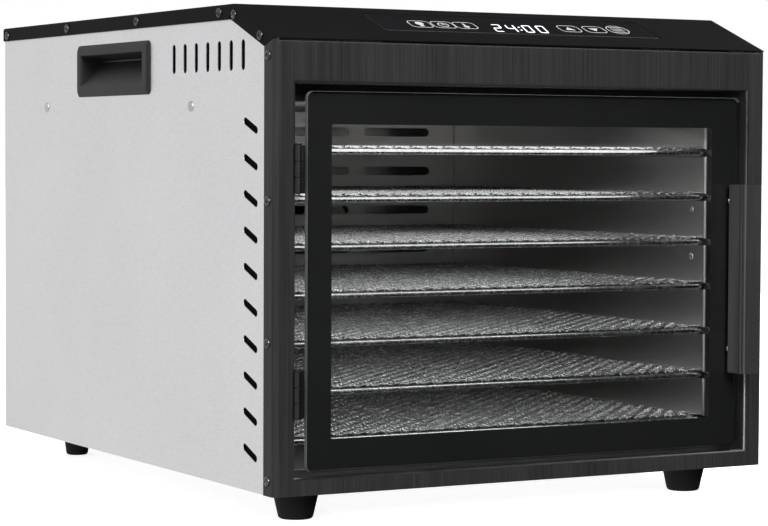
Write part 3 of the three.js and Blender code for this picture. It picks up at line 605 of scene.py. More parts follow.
def cover_line():
    """Stations along the cover: place, outward normal and distance, front to back."""
    tangent = crest_fold * math.tan(slope / 2)
    run = math.hypot(crest - front, top - front_height)
    near = np.array([0.3, 12.0, panel_near - 0.3, panel_far + 0.3, run - tangent])
    rise = np.stack([front + near * math.cos(slope), front_height + near * math.sin(slope)], axis=1)
    bend = np.linspace(slope, 0, 7)[1:]
    centre = np.array([crest + tangent, top - crest_fold])
    curve = centre + crest_fold * np.stack([-np.sin(bend), np.cos(bend)], axis=1)
    flat = np.array([[rear, top]])
    places = np.concatenate([rise, curve, flat])
    angles = np.concatenate([np.full(len(near), slope), bend, [0]])
    return places, angles


def cover_sheet():
    """The line carried across: flange, fold, top, fold, flange. The flange's front end is cut
    on the mitre, and the quads at the notch and under the touch glass are left out."""
    places, angles = cover_line()
    fold = np.linspace(0, 90, 6)
    across_left = np.concatenate([
        [(-half, flange_height)],
        np.stack([-half + flange_fold * (1 - np.cos(np.radians(fold))),
                  flange_fold * (1 - np.sin(np.radians(fold)))], axis=1),
    ])
    middle = np.array([(panel_left - 0.3, 0), (panel_right + 0.3, 0)])
    section = np.concatenate([across_left, middle, across_left[::-1] * (-1, 1)])
    drop = section[:, 1]
    points = np.empty((len(places), len(section), 3))
    points[..., 0] = section[:, 0]
    points[..., 1] = places[:, :1] + np.sin(angles)[:, None] * drop
    points[..., 2] = places[:, 1:] - np.cos(angles)[:, None] * drop
    shear = drop * (10.4 / flange_height)
    points[0, :, 1] += shear * math.cos(slope)
    points[0, :, 2] += shear * math.sin(slope)
    quads = grid_quads(*points.shape[:2])
    keep = np.ones(quads.shape[:2], bool)
    keep[5:9, 0] = keep[5:9, -1] = False
    keep[2, len(across_left)] = False
    return points.reshape(-1, 3) * mm, quads[keep]


cover_points, cover_quads = cover_sheet()
cover_mesh = joined_mesh("top_cover", [cover_points], [cover_quads])
closed_normals(cover_mesh)
add_piece("top_cover_folded", cover_mesh, black_paint, "root", ("top_cover",), 35,
          [thicken])

# ---------------------------------------------------------------------------------------
# Side panels: brushed stainless sheet. Seven upright slots vent the electronics, ten leaning
# slots run down behind the front frame, and a window takes the grip cup.

side_low, side_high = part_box("left_side_panel")
outer_side = abs(side_low.x) / mm
side_sheet, cad_sheet = 0.5, 0.8
side_front, side_rear = side_low.y / mm, side_high.y / mm
side_bottom, side_top = side_low.z / mm, side_high.z / mm
grip_low, grip_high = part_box("left_grip_cup")


def side_loops():
    """The outline of a side panel in Y and Z, then its slots and the grip's window."""
    start = side_front
    shoulder = side_top - (crest - start) * math.tan(slope) + 0.2
    loops = [np.array([(start, side_bottom), (side_rear, side_bottom), (side_rear, side_top),
                       (crest + 0.3, side_top), (start, shoulder)])]
    for i in range(7):
        loops.append(slot_loop(front + 42.1 + i * 15.88, base + 249.1, 17.6, 4.6, 90))
    for i in range(10):
        loops.append(slot_loop(front + 32.1, base + 22.1 + i * 20.73, 19, 4.2, 21))
    loops.append(rounded_loop(front + 179.8, front + 282.2, base + 233.5, base + 257.7, 1, 3))
    return loops


for side, place in (("left", -outer_side), ("right", outer_side - side_sheet)):
    panel = cut_plate_mesh(f"{side}_side", side_loops(), side_sheet, sideways(place * mm))
    add_piece(f"{side}_side_sheet", panel, brushed_steel, "root",
              (f"{side}_side_panel",), 30, [eased(0.14 * mm, 2, 50)])

# ---------------------------------------------------------------------------------------
# Shade strips: thin black felt sheets inside each side panel behind its slots, as painted shade
# for the unlit inside; they are guessed, because the slots look black from outside.

shade_felt = finish("shade_felt", (0.0015, 0.0015, 0.0016), (0.004, 0.004, 0.0042), 0.0, (0.9, 1.0),
                    grain=(700, 700, 700), relief=0.8, blotch=(90, 90, 90), specular=0.05)
felt_gap, felt_thick = 0.4, 1.5
felt_inner = outer_side - cad_sheet - felt_gap
shade_strips = ((front + 36, front + 146, base + 237, base + 261),
               (front + 20, front + 44, base + 8, base + 222))
# Each sheet is painted shade: a dark stand-in for the unlit space behind the slots.
for side, place in (("left", -felt_inner), ("right", felt_inner - felt_thick)):
    for number, strip in enumerate(shade_strips, 1):
        mesh = cut_plate_mesh("felt", [rounded_loop(*strip, 2, 4)], felt_thick, sideways(place * mm))
        add_piece(f"{side}_shade_strip_{number}", mesh, shade_felt, "root", crease=30,
                  modifiers=[eased(0.4 * mm, 2, 50)])

# ---------------------------------------------------------------------------------------
# Grip cups: moulded black plastic let into each side. A raised rim runs round a flat face,
# and the hollow is a wedge, its floor rising inwards to a deep edge under the top lip.

grip_front, grip_rear = grip_low.y / mm, grip_high.y / mm
grip_bottom, grip_top = grip_low.z / mm, grip_high.z / mm
grip_face = abs(grip_low.x) / mm
grip_proud, grip_deep, lip_drop = grip_face - outer_side, 12.8, 3.2
hollow = (front + 181.8, front + 280.2, base + 236.0, base + 255.2)


def grip_loop(box, inset, depth, radius):
    """Points round a rectangle in Y and Z, inset from a box, at a depth behind the face."""
    y0, y1, z0, z1 = box
    flat = rounded_loop(y0 + inset, y1 - inset, z0 + inset, z1 - inset, radius, 5)
    return np.insert(flat, 0, depth, axis=1)


def grip_mesh(side):
    """Loops of one point count, from the rim's back edge up its slope, over the face, round the
    hollow's edge and into the wedge; the last loop is closed by one face."""
    rim = (grip_front, grip_rear, grip_bottom, grip_top)
    profile = ((2.0, grip_proud, 2.0), (0, grip_proud, 3.5), (0, grip_proud - 0.35, 3.5),
               (0.15, grip_proud - 0.6, 3.4), (2.2, 0.16, 2.2), (2.5, 0.03, 2.0), (2.9, 0, 1.8))
    loops = [grip_loop(rim, inset, depth, radius) for inset, depth, radius in profile]
    loops.append(grip_loop(hollow, -0.9, 0, 1.8))
    loops.append(grip_loop(hollow, -0.35, 0.12, 1.4))
    loops.append(grip_loop(hollow, -0.05, 0.45, 1.0))
    y0, y1, z0, z1 = hollow
    for t in np.linspace(0.08, 1, 8):
        floor = z0 + t * (z1 - lip_drop - 1 - z0)
        ceiling = z1 - lip_drop * t
        wedge = (y0 + 0.7 * t, y1 - 0.7 * t, floor, ceiling)
        loops.append(grip_loop(wedge, 0, grip_deep * t, 0.45))
    points = np.stack(loops)
    points[..., 0] = side * (grip_face - points[..., 0])
    count = points.shape[1]
    quads = grid_quads(len(points), count, wrap_columns=True).reshape(-1, 4)
    mesh = joined_mesh("grip", [points.reshape(-1, 3) * mm], [quads])
    work = bmesh.new()
    work.from_mesh(mesh)
    work.verts.ensure_lookup_table()
    last = (len(points) - 1) * count
    work.faces.new([work.verts[last + i] for i in range(count)])
    bmesh.ops.recalc_face_normals(work, faces=work.faces)
    work.to_mesh(mesh)
    work.free()
    on_face = [f for f in mesh.polygons if abs(f.center.x) > (grip_face - 0.01) * mm]
    if sum(f.normal.x for f in on_face) * side < 0:
        mesh.flip_normals()
    return mesh


for side, sign in (("left", -1), ("right", 1)):
    add_piece(f"{side}_grip_moulding", grip_mesh(sign), black_plastic, "root",
              (f"{side}_grip_cup",), 32, [thicken])

# ---------------------------------------------------------------------------------------
# Rear panel and bottom plate: the same stainless sheet, with a vent behind the fan motor and
# the opening of the power inlet. They are guessed from what such cabinets have.

rear_low, rear_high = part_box("rear_panel")
fan_low, fan_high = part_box("fan_impeller")
fan_level = (fan_low.z + fan_high.z) / 2 / mm
inlet_low, inlet_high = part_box("power_inlet")
inlet_x = (inlet_low.x + inlet_high.x) / 2 / mm
inlet_z = (inlet_low.z + inlet_high.z) / 2 / mm
vent_loops = [rounded_loop(rear_low.x / mm, rear_high.x / mm, rear_low.z / mm, rear_high.z / mm,
                           0.5, 2)]
for column in (-1, 0, 1):
    for row in range(-4, 5):
        vent_loops.append(slot_loop(column * 34, fan_level + row * 9, 26, 4))
vent_loops.append(rounded_loop(inlet_x - 14.5, inlet_x + 14.5, inlet_z - 11, inlet_z + 11, 0.5, 2))
rear_mesh = cut_plate_mesh("rear_panel", vent_loops, 0.8, upright(rear_low.y))
add_piece("rear_panel_sheet", rear_mesh, brushed_steel, "root", ("rear_panel",), 30,
          [eased(0.25 * mm, 2, 50)])
eased_copy("bottom_plate", 0.25 * mm, brushed_steel, "root")
eased_copy("power_inlet", 0.35 * mm, black_plastic, "root")

# ---------------------------------------------------------------------------------------
# Feet: four tapered rubber feet, dished under and rounded at the bottom edge.



def foot_mesh(top_radius, bottom_radius, tall, rounding):
    """A taper turned round Z: a dished underside, a round bottom edge and an eased top."""
    return turned_mesh("foot", np.concatenate([
        [(0, 0.6), (bottom_radius * 0.62, 0.6), (bottom_radius * 0.68, 0.1),
         (bottom_radius * 0.74, 0.0)],
        arc((bottom_radius - rounding, rounding), rounding, -90, -10, 6),
        [(top_radius - 0.3, tall - 2.4)],
        arc((top_radius - 0.8, tall - 0.8), 0.8, 0, 90, 4),
        [(0, tall)],
    ]))


for end, bottom_radius, rounding in (("front", 10.4, 2.2), ("rear", 7.6, 2.0)):
    for side in ("left", "right"):
        low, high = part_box(f"foot_{end}_{side}")
        mesh = foot_mesh((high.x - low.x) / 2 / mm, bottom_radius, (high.z - low.z) / mm, rounding)
        mesh.transform(Matrix.Translation(((low.x + high.x) / 2, (low.y + high.y) / 2, low.z)))
        add_piece(f"foot_{end}_{side}_rubber", mesh, black_rubber, "root",
                  (f"foot_{end}_{side}",), 40)

# ---------------------------------------------------------------------------------------
# Fasteners: pan head cross screws along the flanges, and domed rivets on the sides.


def screw_points(radius=2.9, height=1.5):
    """A dome over a disc with a cross cut into it: height falls with the square of the radius,
    and drops where the distance to either arm of the cross is small."""
    turn = np.linspace(0, 2 * np.pi, 32, endpoint=False)
    reach = np.concatenate([np.linspace(0.02, 0.72, 10), [0.84, 0.93, 0.98, 1.0]])
    r, a = np.meshgrid(reach, turn, indexing="ij")
    u, v = r * np.cos(a), r * np.sin(a)
    dome = height * np.sqrt(np.clip(1 - (r * 0.93) ** 2, 0, 1))
    arm = np.minimum(np.abs(u), np.abs(v))
    cut = np.clip((0.15 - arm) / 0.06, 0, 1) * np.clip((0.66 - r) / 0.08, 0, 1)
    z = dome - cut * 0.95
    points = np.stack([u * radius, v * radius, z], axis=-1)
    skirt = points[-1:].copy()
    skirt[..., 2] = -0.3
    return np.concatenate([points, skirt])


def fastener_mesh(name, grid, places):
    """Copies of one head, each at a place with its own outward direction, in millimetres."""
    rows, columns = grid.shape[:2]
    quads = grid_quads(rows, columns, wrap_columns=True).reshape(-1, 4)
    points, faces = [], []
    for place, outward, spin in places:
        outward = Vector(outward).normalized()
        turn = outward.to_track_quat("Z", "Y").to_matrix().to_4x4()
        turn = np.array(Matrix.Translation(Vector(place)) @ turn @ Matrix.Rotation(spin, 4, "Z"))
        flat = grid.reshape(-1, 3) @ turn[:3, :3].T + turn[:3, 3]
        points.append(flat * mm)
        faces.append(quads)
    mesh = joined_mesh(name, points, faces)
    return mesh


def cap_ends(mesh):
    """Closes the open rings of a mesh of heads."""
    work = bmesh.new()
    work.from_mesh(mesh)
    open_edges = [e for e in work.edges if e.is_boundary]
    bmesh.ops.holes_fill(work, edges=open_edges, sides=64)
    bmesh.ops.recalc_face_normals(work, faces=work.faces)
    work.to_mesh(mesh)
    work.free()
    return mesh


spins = np.random.default_rng(7).uniform(0, np.pi / 2, 64)
screw_grid = screw_points()
places = []
for sign in (-1, 1):
    for depth, level in ((72.0, 274.2), (191.4, 274.2), (305.9, 274.2), (415.8, 273.4),
                         (52.3, 272.4), (18.3, 259.3), (8.2, 247.9), (8.2, 166.3), (8.2, 86.4),
                         (8.2, 8.5)):
        places.append(((sign * half, front + depth, base + level), (sign, 0, 0)))
screw_mesh = fastener_mesh("cabinet_screws", screw_grid,
                           [(p, o, s) for (p, o), s in zip(places, spins)])
add_piece("cabinet_screws", cap_ends(screw_mesh), screw_steel, "root", crease=50)


def rivet_points(radius=3.1, height=1.4):
    """A low dome: height falls as a circle does, with a small centre dimple."""
    turn = np.linspace(0, 2 * np.pi, 28, endpoint=False)
    reach = np.array([0.02, 0.18, 0.26, 0.45, 0.65, 0.82, 0.94, 1.0])
    r, a = np.meshgrid(reach, turn, indexing="ij")
    z = height * np.sqrt(np.clip(1 - (r * 0.98) ** 2, 0, 1)) - np.where(r < 0.2, 0.25, 0)
    points = np.stack([r * radius * np.cos(a), r * radius * np.sin(a), z], axis=-1)
    skirt = points[-1:].copy()
    skirt[..., 2] = -0.3
    return np.concatenate([points, skirt])


rivet_grid = rivet_points()
places = [((sign * outer_side, front + depth, base + level), (sign, 0, 0), 0.0)
          for sign in (-1, 1) for depth, level in ((113.1, 220.6), (343.9, 222.9))]
add_piece("side_rivets", cap_ends(fastener_mesh("side_rivets", rivet_grid, places)), rivet_steel,
          "root", crease=50)

# ---------------------------------------------------------------------------------------
# Touch panel: a thin black glass on the slope with a backlit clock, six touch marks and
# printed outlines. The marks are flat shapes just above the glass.

panel_glass = finish("panel_glass", (0.006, 0.006, 0.007), (0.008, 0.008, 0.009),
                     0.0, (0.16, 0.22), grain=(300, 300, 300), blotch=(10, 10, 10),
                     specular=0.2)
eased_copy("touch_panel", 0.35 * mm, panel_glass, "root")


def glow(name, colour, strength):
    """A finish that shines softly, with a slow change of brightness over the mark."""
    material = bpy.data.materials.new(name)
    tree, shader, _ = new_nodes(material)
    clouds = tree.nodes.new("ShaderNodeGroup")
    clouds.node_tree = blotches
    for label in ("Spread X", "Spread Y", "Spread Z"):
        clouds.inputs[label].default_value = 60
    tone = tree.nodes.new("ShaderNodeMix")
    tone.data_type = "RGBA"
    tone.inputs["A"].default_value = (*[c * 0.85 for c in colour], 1)
    tone.inputs["B"].default_value = (*colour, 1)
    tree.links.new(clouds.outputs["Value"], tone.inputs["Factor"])
    tree.links.new(tone.outputs["Result"], shader.inputs["Base Color"])
    tree.links.new(tone.outputs["Result"], shader.inputs["Emission Color"])
    shader.inputs["Emission Strength"].default_value = strength
    shader.inputs["Roughness"].default_value = 0.5
    return material


digit_light = glow("digit_light", (0.95, 0.96, 1.0), 0.75)
mark_light = glow("mark_light", (0.50, 0.50, 0.49), 0.16)


def on_slope(height):
    """Carries a drawing of X and distance up the slope to the slope, raised by a height."""
    c, s = math.cos(slope), math.sin(slope)
    place = Vector((0, front - s * height, front_height + c * height)) * mm
    return Matrix(((1, 0, 0, place.x), (0, c, -s, place.y), (0, s, c, place.z), (0, 0, 0, 1)))


def strokes(path, width, closed=False):
    """Four cornered strips along a path, each a little longer than its own stretch."""
    path = np.asarray(path, float)
    ends = np.roll(path, -1, axis=0) if closed else path[1:]
    starts = path if closed else path[:-1]
    step = ends - starts
    step = step / np.linalg.norm(step, axis=1)[:, None] * width / 2
    side = np.stack([-step[:, 1], step[:, 0]], axis=1)
    reach = step * 0.35
    return list(np.stack([starts - reach - side, ends + reach - side,
                          ends + reach + side, starts - reach + side], axis=1))


def prisms(name, outlines, height, axes):
    """One mesh of flat outlines, in millimetres, each raised to a height."""
    points, faces = [], []
    for outline in outlines:
        outline = np.asarray(outline, float)
        count = len(outline)
        ring = np.concatenate([np.insert(outline, 2, 0, axis=1), np.insert(outline, 2, height, axis=1)])
        index = np.arange(count)
        after = (index + 1) % count
        points.append(ring * mm)
        faces.append([*np.stack([index, after, after + count, index + count], axis=1).tolist(),
                      (index[::-1]).tolist(), (index + count).tolist()])
    mesh = bpy.data.meshes.new(name)
    offsets = np.cumsum([0] + [len(p) for p in points[:-1]])
    corners = [[c + start for c in face] for group, start in zip(faces, offsets) for face in group]
    mesh.from_pydata(np.concatenate(points).tolist(), [], corners)
    mesh.transform(axes)
    return mesh


def tapered(start, end, width):
    """A six cornered segment with pointed ends, as in a numeral."""
    start, end = np.asarray(start, float), np.asarray(end, float)
    along = (end - start) / np.linalg.norm(end - start)
    side = np.array([-along[1], along[0]]) * width / 2
    point = along * width / 2
    return np.array([start, start + point + side, end - point + side,
                     end, end - point - side, start + point - side])


segment_ends = {
    "top": ((0, 2), (1, 2)), "middle": ((0, 1), (1, 1)), "bottom": ((0, 0), (1, 0)),
    "upper_left": ((0, 1), (0, 2)), "upper_right": ((1, 1), (1, 2)),
    "lower_left": ((0, 0), (0, 1)), "lower_right": ((1, 0), (1, 1)),
}
numerals = {
    2: ("top", "upper_right", "middle", "lower_left", "bottom"),
    4: ("upper_left", "middle", "upper_right", "lower_right"),
    0: ("top", "upper_left", "upper_right", "lower_left", "lower_right", "bottom"),
}
digit_wide, digit_tall, digit_lean, digit_stroke = 5.1, 12.2, math.tan(math.radians(11)), 0.95


def numeral_outlines(value, x, s):
    """The lit segments of one numeral whose lower left corner is at x and s."""
    outlines = []
    for segment in numerals[value]:
        ends = []
        for u, v in segment_ends[segment]:
            rise = v * digit_tall / 2
            ends.append((x + u * digit_wide + rise * digit_lean, s + rise))
        outlines.append(tapered(*ends, digit_stroke))
    return outlines


digit_outlines = []
for value, x in ((2, -12.0), (4, -2.1), (0, 9.4), (0, 19.1)):
    digit_outlines += numeral_outlines(value, x, 22.8)
for s in (26.5, 31.5):
    digit_outlines.append(circle_loop(6.4 + (s - 22.8) * digit_lean, s, 0.75, 12))
add_piece("clock_numerals", prisms("numerals", digit_outlines, 0.06, on_slope(0.03)), digit_light,
          "root", crease=10)


def mark_outlines():
    """A rounded frame round each of five keys, their signs, and a round key with bars."""
    s = 31.8
    keys = (-59.8, -44.2, -29.2, 44.3, 62.6)
    lamp_key, clock_key, heat_key, more_key, less_key = keys
    round_key = 80.1
    outlines = []
    for x in keys:
        outlines += strokes(rounded_loop(x - 7.25, x + 7.25, s - 5.65, s + 5.65, 3.5, 7), 0.6, True)
    outlines.append(circle_loop(lamp_key, s + 1.2, 2.8, 14))
    outlines.append([(lamp_key - 1.4, s - 3.9), (lamp_key + 1.4, s - 3.9),
                     (lamp_key + 1.4, s - 1.2), (lamp_key - 1.4, s - 1.2)])
    outlines += strokes(circle_loop(clock_key, s, 3.3, 18), 0.75, True)
    outlines += strokes([(clock_key, s + 2.2), (clock_key, s), (clock_key + 1.6, s)], 0.75)
    outlines += strokes([(heat_key, s + 3.4), (heat_key, s - 1.5)], 1.3)
    outlines.append(circle_loop(heat_key, s - 2.2, 1.9, 14))
    outlines.append([(more_key - 3.4, s - 2.2), (more_key + 3.4, s - 2.2), (more_key, s + 2.8)])
    outlines.append([(less_key - 3.4, s + 2.2), (less_key, s - 2.8), (less_key + 3.4, s + 2.2)])
    outlines += strokes(circle_loop(round_key, s + 0.8, 7.3, 26), 0.6, True)
    for lift in (-4.2, -1.4, 1.4, 4.2):
        outlines += strokes([(round_key - 4.2, s + 0.8 + lift), (round_key + 4.2, s + 0.8 + lift)], 0.75)
    return outlines


add_piece("key_marks", prisms("marks", mark_outlines(), 0.05, on_slope(0.03)), mark_light,
          "root", crease=10)

# ---------------------------------------------------------------------------------------
# Liner: thin stainless walls round the food. Each side wall is pressed into seven runners for
# the trays and folded out at the front; the rear has the air slots of the fan's baffle.

wall_low, wall_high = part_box("right_liner_wall")
wall_inner = wall_low.x / mm
wall_front, wall_rear = wall_low.y / mm, wall_high.y / mm
wall_bottom, wall_top = wall_low.z / mm, wall_high.z / mm
runner_bottom, runner_rear = 152.0, front + 336
runner_below, runner_above = 1.9, 2.2
wall_fold = 2.0
flange_edge = wall_high.x / mm
tray_levels = [base + 26.5 + 27.93 * i for i in range(7)]


def wall_heights():
    """Heights up the wall and how deep the runners are pressed at each, as two arrays."""
    heights, depths = [wall_bottom], [0.0]
    for level in tray_levels:
        low, high = level - runner_below, level + runner_above
        heights += [low - 0.6, low - 0.15, low + 0.05, low + 0.3, high - 0.3, high - 0.05,
                    high + 0.15, high + 0.6]
        depths += [0, 0.12, 0.6, 1, 1, 0.6, 0.12, 0]
    heights.append(wall_top)
    depths.append(0.0)
    return np.array(heights), np.array(depths) * (runner_bottom - wall_inner)


def liner_wall_mesh(side):
    """Heights by depths. Going back, the sheet is the flange, the fold and the flat wall; where a
    runner is pressed it keeps the larger of the two offsets, and the runner ends in a slope."""
    heights, pressed = wall_heights()
    fold = np.radians(np.linspace(0, 90, 6))
    depths = np.concatenate([
        [wall_front], wall_front + wall_fold * (1 - np.cos(fold)), [wall_front + 12],
        runner_rear + np.array([-4, -2, -1, 0]), [wall_rear]])
    offset = np.zeros(len(depths))
    offset[0] = flange_edge - wall_inner
    offset[1:7] = wall_fold * (1 - np.sin(fold))
    share = np.ones(len(depths))
    share[-4:] = (0.9, 0.55, 0, 0)
    grid = np.empty((len(heights), len(depths), 3))
    grid[..., 0] = side * (wall_inner + np.maximum(offset, pressed[:, None] * share))
    grid[..., 1] = depths
    grid[..., 2] = heights[:, None]
    mesh = joined_mesh("liner", [grid.reshape(-1, 3) * mm],
                       [grid_quads(*grid.shape[:2]).reshape(-1, 4)])
    if side > 0:
        mesh.flip_normals()
    return mesh


for side, sign in (("left", -1), ("right", 1)):
    add_piece(f"{side}_liner_sheet", liner_wall_mesh(sign), liner_steel, "root",
              (f"{side}_liner_wall",), 40, [thicken])
for node in ("liner_ceiling", "liner_floor", "air_baffle", "rear_liner_wall"):
    eased_copy(node, 0.2 * mm, liner_steel, "root")

rivet_depth, rivet_levels = front + 43.9, (base + 158.5, base + 129.0)
places = [((wall_inner, rivet_depth, level), (-1, 0, 0), 0.0) for level in rivet_levels]
places += [((-wall_inner, rivet_depth, level), (1, 0, 0), 0.0) for level in rivet_levels]
add_piece("liner_rivets", cap_ends(fastener_mesh("liner_rivets", rivet_points(2.3, 1.2), places)),
          rivet_steel, "root", crease=50)

# ---------------------------------------------------------------------------------------
# Trays: a round steel rod bent to a rectangle, with a plain weave of thinner wire lying on
# it. Each wire dips under and over the crossing ones, half a pitch out of step with the next.

rim_low, rim_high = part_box("tray_rim_1")
rim_half, rim_front, rim_rear = rim_high.x / mm, rim_low.y / mm, rim_high.y / mm
rod_radius = 1.6


def rim_points(level, sides=14, steps=7):
    """A tube round the rectangle: each corner point carries a circle in its own cross plane."""
    inset = rod_radius
    path = rounded_loop(-rim_half + inset, rim_half - inset, rim_front + inset, rim_rear - inset,
                        5.0, steps)
    ahead = np.roll(path, -1, axis=0) - np.roll(path, 1, axis=0)
    side = np.stack([ahead[:, 1], -ahead[:, 0]], axis=1)
    side /= np.linalg.norm(side, axis=1)[:, None]
    turn = np.linspace(0, 2 * np.pi, sides, endpoint=False)
    flat = path[:, None, :] + side[:, None, :] * (rod_radius * np.cos(turn))[None, :, None]
    height = np.broadcast_to(level + rod_radius * np.sin(turn), flat.shape[:2])
    return np.concatenate([flat, height[..., None]], axis=2)


weave_pitch, weave_wire = 5.6, 0.6
weave_half, weave_front, weave_rear = 146.5, rim_front + 4.4, rim_rear - 4.4
tube_sides = 4


def wire_tubes(across, start, stop, level, along_x):
    """Wires side by side at the places across, each a four sided tube whose height swings by a
    cosine with one turn every two pitches, opposite for neighbours and for the other family."""
    count = int(round((stop - start) / (weave_pitch / 2)))
    run = np.linspace(start, stop, count + 1)
    family = 0.0 if along_x else 0.5
    number = np.arange(len(across))
    phase = np.pi * (run[None, :] - start) / weave_pitch + np.pi * (number[:, None] + 2 * family)
    lift = level + weave_wire * 0.95 * np.cos(phase)
    wander = np.random.default_rng(len(across)).normal(0, 0.10, (len(across), 1))
    turn = np.radians(45 + 90 * np.arange(tube_sides))
    reach = weave_wire * 1.15
    grid = np.empty((len(across), len(run), tube_sides, 3))
    sideways_axis, along_axis = (1, 0) if along_x else (0, 1)
    grid[..., along_axis] = run[None, :, None]
    grid[..., sideways_axis] = (across[:, None, None] + wander[..., None]
                                + reach * np.cos(turn)[None, None, :])
    grid[..., 2] = lift[..., None] + reach * np.sin(turn)[None, None, :]
    one = grid_quads(len(run), tube_sides, wrap_columns=True).reshape(-1, 4)
    offsets = (np.arange(len(across)) * len(run) * tube_sides)[:, None, None]
    return grid.reshape(-1, 3), (one[None] + offsets).reshape(-1, 4)


def weave_mesh(level):
    """Both families of wires as one mesh."""
    middle = level + rod_radius + weave_wire * 1.6
    rows = np.arange(weave_front + 1.5, weave_rear - 1.4, weave_pitch)
    columns = np.arange(-weave_half + 1.5, weave_half - 1.4, weave_pitch)
    points_x, quads_x = wire_tubes(rows, -weave_half, weave_half, middle, True)
    points_y, quads_y = wire_tubes(columns, weave_front, weave_rear, middle, False)
    return joined_mesh("weave", [points_x * mm, points_y * mm], [quads_x, quads_y])


for number, level in enumerate(tray_levels, 1):
    rim = rim_points(level)
    mesh = joined_mesh("rim", [rim.reshape(-1, 3) * mm],
                       [grid_quads(*rim.shape[:2], True, True).reshape(-1, 4)])
    closed_normals(mesh)
    add_piece(f"tray_{number}_rod", mesh, wire_steel, f"tray_{number}",
              (f"tray_rim_{number}",), 60)
    mesh = weave_mesh(level)
    add_piece(f"tray_{number}_weave", mesh, wire_steel, f"tray_{number}",
              (f"tray_mesh_{number}",), 180)

# ---------------------------------------------------------------------------------------
# Door: clear glass with ground edges, a black border printed on its back, black hinges, and
# an angle section handle on two bright spacers.


def clear_glass(name):
    """Glass that lets straight light through and mirrors more at a glance, with a faint tint
    that changes slowly over the pane. Light that leaves the pane isn't mirrored again."""
    material = bpy.data.materials.new(name)
    material.use_nodes = True
    tree = material.node_tree
    tree.nodes.clear()
    output = tree.nodes.new("ShaderNodeOutputMaterial")
    clouds = tree.nodes.new("ShaderNodeGroup")
    clouds.node_tree = blotches
    for label in ("Spread X", "Spread Y", "Spread Z"):
        clouds.inputs[label].default_value = 7
    tint = tree.nodes.new("ShaderNodeMix")
    tint.data_type = "RGBA"
    tint.inputs["A"].default_value = (0.90, 0.915, 0.91, 1)
    tint.inputs["B"].default_value = (0.95, 0.955, 0.955, 1)
    tree.links.new(clouds.outputs["Value"], tint.inputs["Factor"])
    through = tree.nodes.new("ShaderNodeBsdfTransparent")
    tree.links.new(tint.outputs["Result"], through.inputs["Color"])
    mirror = tree.nodes.new("ShaderNodeBsdfGlossy")
    mirror.inputs["Roughness"].default_value = 0.02
    bend = tree.nodes.new("ShaderNodeFresnel")
    bend.inputs["IOR"].default_value = 1.45
    side = tree.nodes.new("ShaderNodeNewGeometry")
    entering = tree.nodes.new("ShaderNodeMath")
    entering.operation = "SUBTRACT"
    entering.inputs[0].default_value = 1.0
    tree.links.new(side.outputs["Backfacing"], entering.inputs[1])
    mirrored = tree.nodes.new("ShaderNodeMath")
    mirrored.operation = "MULTIPLY"
    tree.links.new(bend.outputs[0], mirrored.inputs[0])
    tree.links.new(entering.outputs[0], mirrored.inputs[1])
    mix = tree.nodes.new("ShaderNodeMixShader")
    tree.links.new(mirrored.outputs[0], mix.inputs[0])
    tree.links.new(through.outputs[0], mix.inputs[1])
    tree.links.new(mirror.outputs[0], mix.inputs[2])
    tree.links.new(mix.outputs[0], output.inputs[0])
    return material


door_pane = clear_glass("door_pane")
# The pale ground edge is put only where light falls, as a painted highlight; the black print also serves
# as painted shade on the pane's edges.
lit_ground_edge = finish("lit_ground_edge", (0.12, 0.125, 0.125), (0.20, 0.205, 0.205), 0.0, (0.35, 0.5),
                     grain=(1800, 1800, 1800), relief=0.2, blotch=(40, 40, 40))
border_print_and_edge_shade = finish("border_print_and_edge_shade", (0.006, 0.006, 0.0065), (0.009, 0.009, 0.0095), 0.0,
                      (0.5, 0.6), grain=(900, 900, 900), blotch=(12, 12, 12), specular=0.2)
glass_left, glass_right = glass_low.x / mm, glass_high.x / mm
glass_bottom, glass_top = glass_low.z / mm, glass_high.z / mm
window = (-132.0, 132.0, base + 31.0, base + 209.5)
pane_thick = (glass_high.y - glass_low.y) / mm
pane_loop = rounded_loop(glass_left, glass_right, glass_bottom, glass_top, 4, 8)
pane_mesh = cut_plate_mesh("pane", [pane_loop], pane_thick, upright(glass_low.y))
pane = add_piece("door_pane", pane_mesh, door_pane, "door", ("door_glass",), 20,
                 [eased(0.8 * mm, 1, 50)])
pane.data.materials.append(lit_ground_edge)
pane.data.materials.append(border_print_and_edge_shade)
# Edge faces that look left or up get the pale ground edge as a painted highlight; the other edge faces
# get the black print as painted shade.
for face in pane.data.polygons:
    on_edge = abs(face.normal.y) < 0.95
    lit_edge = face.normal.x < -0.3 or face.normal.z > 0.3
    face.material_index = 0 if not on_edge else (1 if lit_edge else 2)
border_loops = [rounded_loop(glass_left + 0.9, glass_right - 0.9, glass_bottom + 0.9,
                             glass_top - 0.9, 4, 8),
                rounded_loop(*window, 1.0, 4)]
border_mesh = cut_plate_mesh("border", border_loops, 0.12,
                             upright((glass_low.y / mm + pane_thick + 0.03) * mm))
add_piece("door_border_print", border_mesh, border_print_and_edge_shade, "door", crease=30)

hinge_paint = finish("hinge_paint", (0.003, 0.003, 0.0033), (0.007, 0.007, 0.0075), 0.0, (0.25, 0.35),
                     grain=(1500, 1500, 1500), relief=0.1, specular=0.4)
for level in ("lower", "upper"):
    eased_copy(f"frame_hinge_{level}", 0.15 * mm, hinge_paint, "root")
    eased_copy(f"door_hinge_{level}", 0.15 * mm, hinge_paint, "door")
    eased_copy(f"hinge_pin_{level}", 0.12 * mm, hinge_paint, "root")
    eased_copy(f"handle_spacer_{level}", 0.2 * mm, rivet_steel, "door")
eased_copy("door_strike_plate", 0.15 * mm, rivet_steel, "door")
eased_copy("door_catch", 0.4 * mm, black_plastic, "root")

handle_low, handle_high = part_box("door_handle")
handle_left, handle_right = handle_low.x / mm, handle_high.x / mm
handle_near, handle_far = handle_high.y / mm, handle_low.y / mm


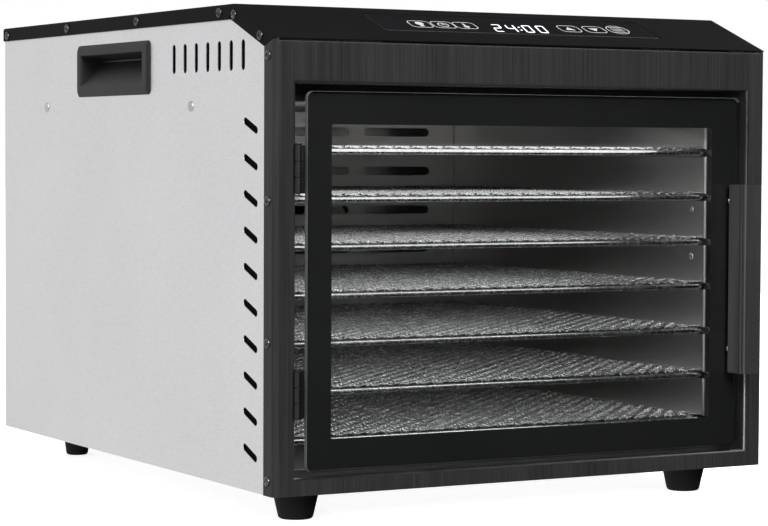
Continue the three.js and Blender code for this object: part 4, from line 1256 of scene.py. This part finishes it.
def handle_section():
    """The angle section: a web with two grooves, a rounded ridge at its corner and a flange."""
    x, y = handle_left, handle_far
    web, deep, nose, end, flange = 3.4, 0.9, 1.2, 0.8, 3.0
    grooves = []
    for near, far in ((front - 11.8, front - 12.9), (front - 14.6, front - 15.6)):
        grooves += [(x, near), (x + deep, near), (x + deep, far), (x, far)]
    return np.concatenate([
        [(x, handle_near)], grooves,
        arc((x + nose, y + nose), nose, 180, 270, 6),
        arc((handle_right - end, y + end), end, -90, 0, 4),
        arc((handle_right - 0.5, y + flange - 0.5), 0.5, 0, 90, 3),
        [(x + web + 1, y + flange), (x + web, y + flange + 1), (x + web, handle_near)],
    ])


def level_drawing(z):
    """Carries a drawing in X and Y to the level z, its thickness running up."""
    return Matrix.Translation((0, 0, z))


handle_mesh = cut_plate_mesh("handle", [handle_section()], (handle_high.z - handle_low.z) / mm,
                             level_drawing(handle_low.z))
add_piece("door_handle_section", handle_mesh, black_anodised, "door",
          ("door_handle",), 30, [eased(0.18 * mm, 2, 50)])

# ---------------------------------------------------------------------------------------
# Inside parts: the lamp under the ceiling, the fan, its motor, the heater and the boards.
# They keep their CAD shape with eased edges where they can be seen.

eased_copy("fan_impeller", 0.3 * mm, liner_steel, "fan")
eased_copy("motor_shaft", 0.2 * mm, rivet_steel, "fan")
heater_sheath = finish("heater_sheath", (0.16, 0.13, 0.11), (0.34, 0.29, 0.25), 1.0, (0.35, 0.5),
                       grain=(500, 500, 500), relief=0.1)
cad_finishes = {
    "heater_element": heater_sheath, "heater_bracket_left": liner_steel,
    "heater_bracket_right": liner_steel, "fan_motor_stator": liner_steel,
    "motor_bracket": liner_steel, "motor_coil": copper_wire, "thermal_cutout": black_plastic,
    "temperature_probe": rivet_steel, "power_board": board_green, "control_board": board_green,
    "display_module": white_plastic, "chamber_lamp": white_plastic,
}
for node, material in cad_finishes.items():
    nodes[node].data.materials.clear()
    nodes[node].data.materials.append(material)

area_light("chamber_light", (0, rim_front * mm + 0.06, wall_top * mm - 0.008),
           (0, rim_front * mm + 0.10, 0), 0.24, 0.25)
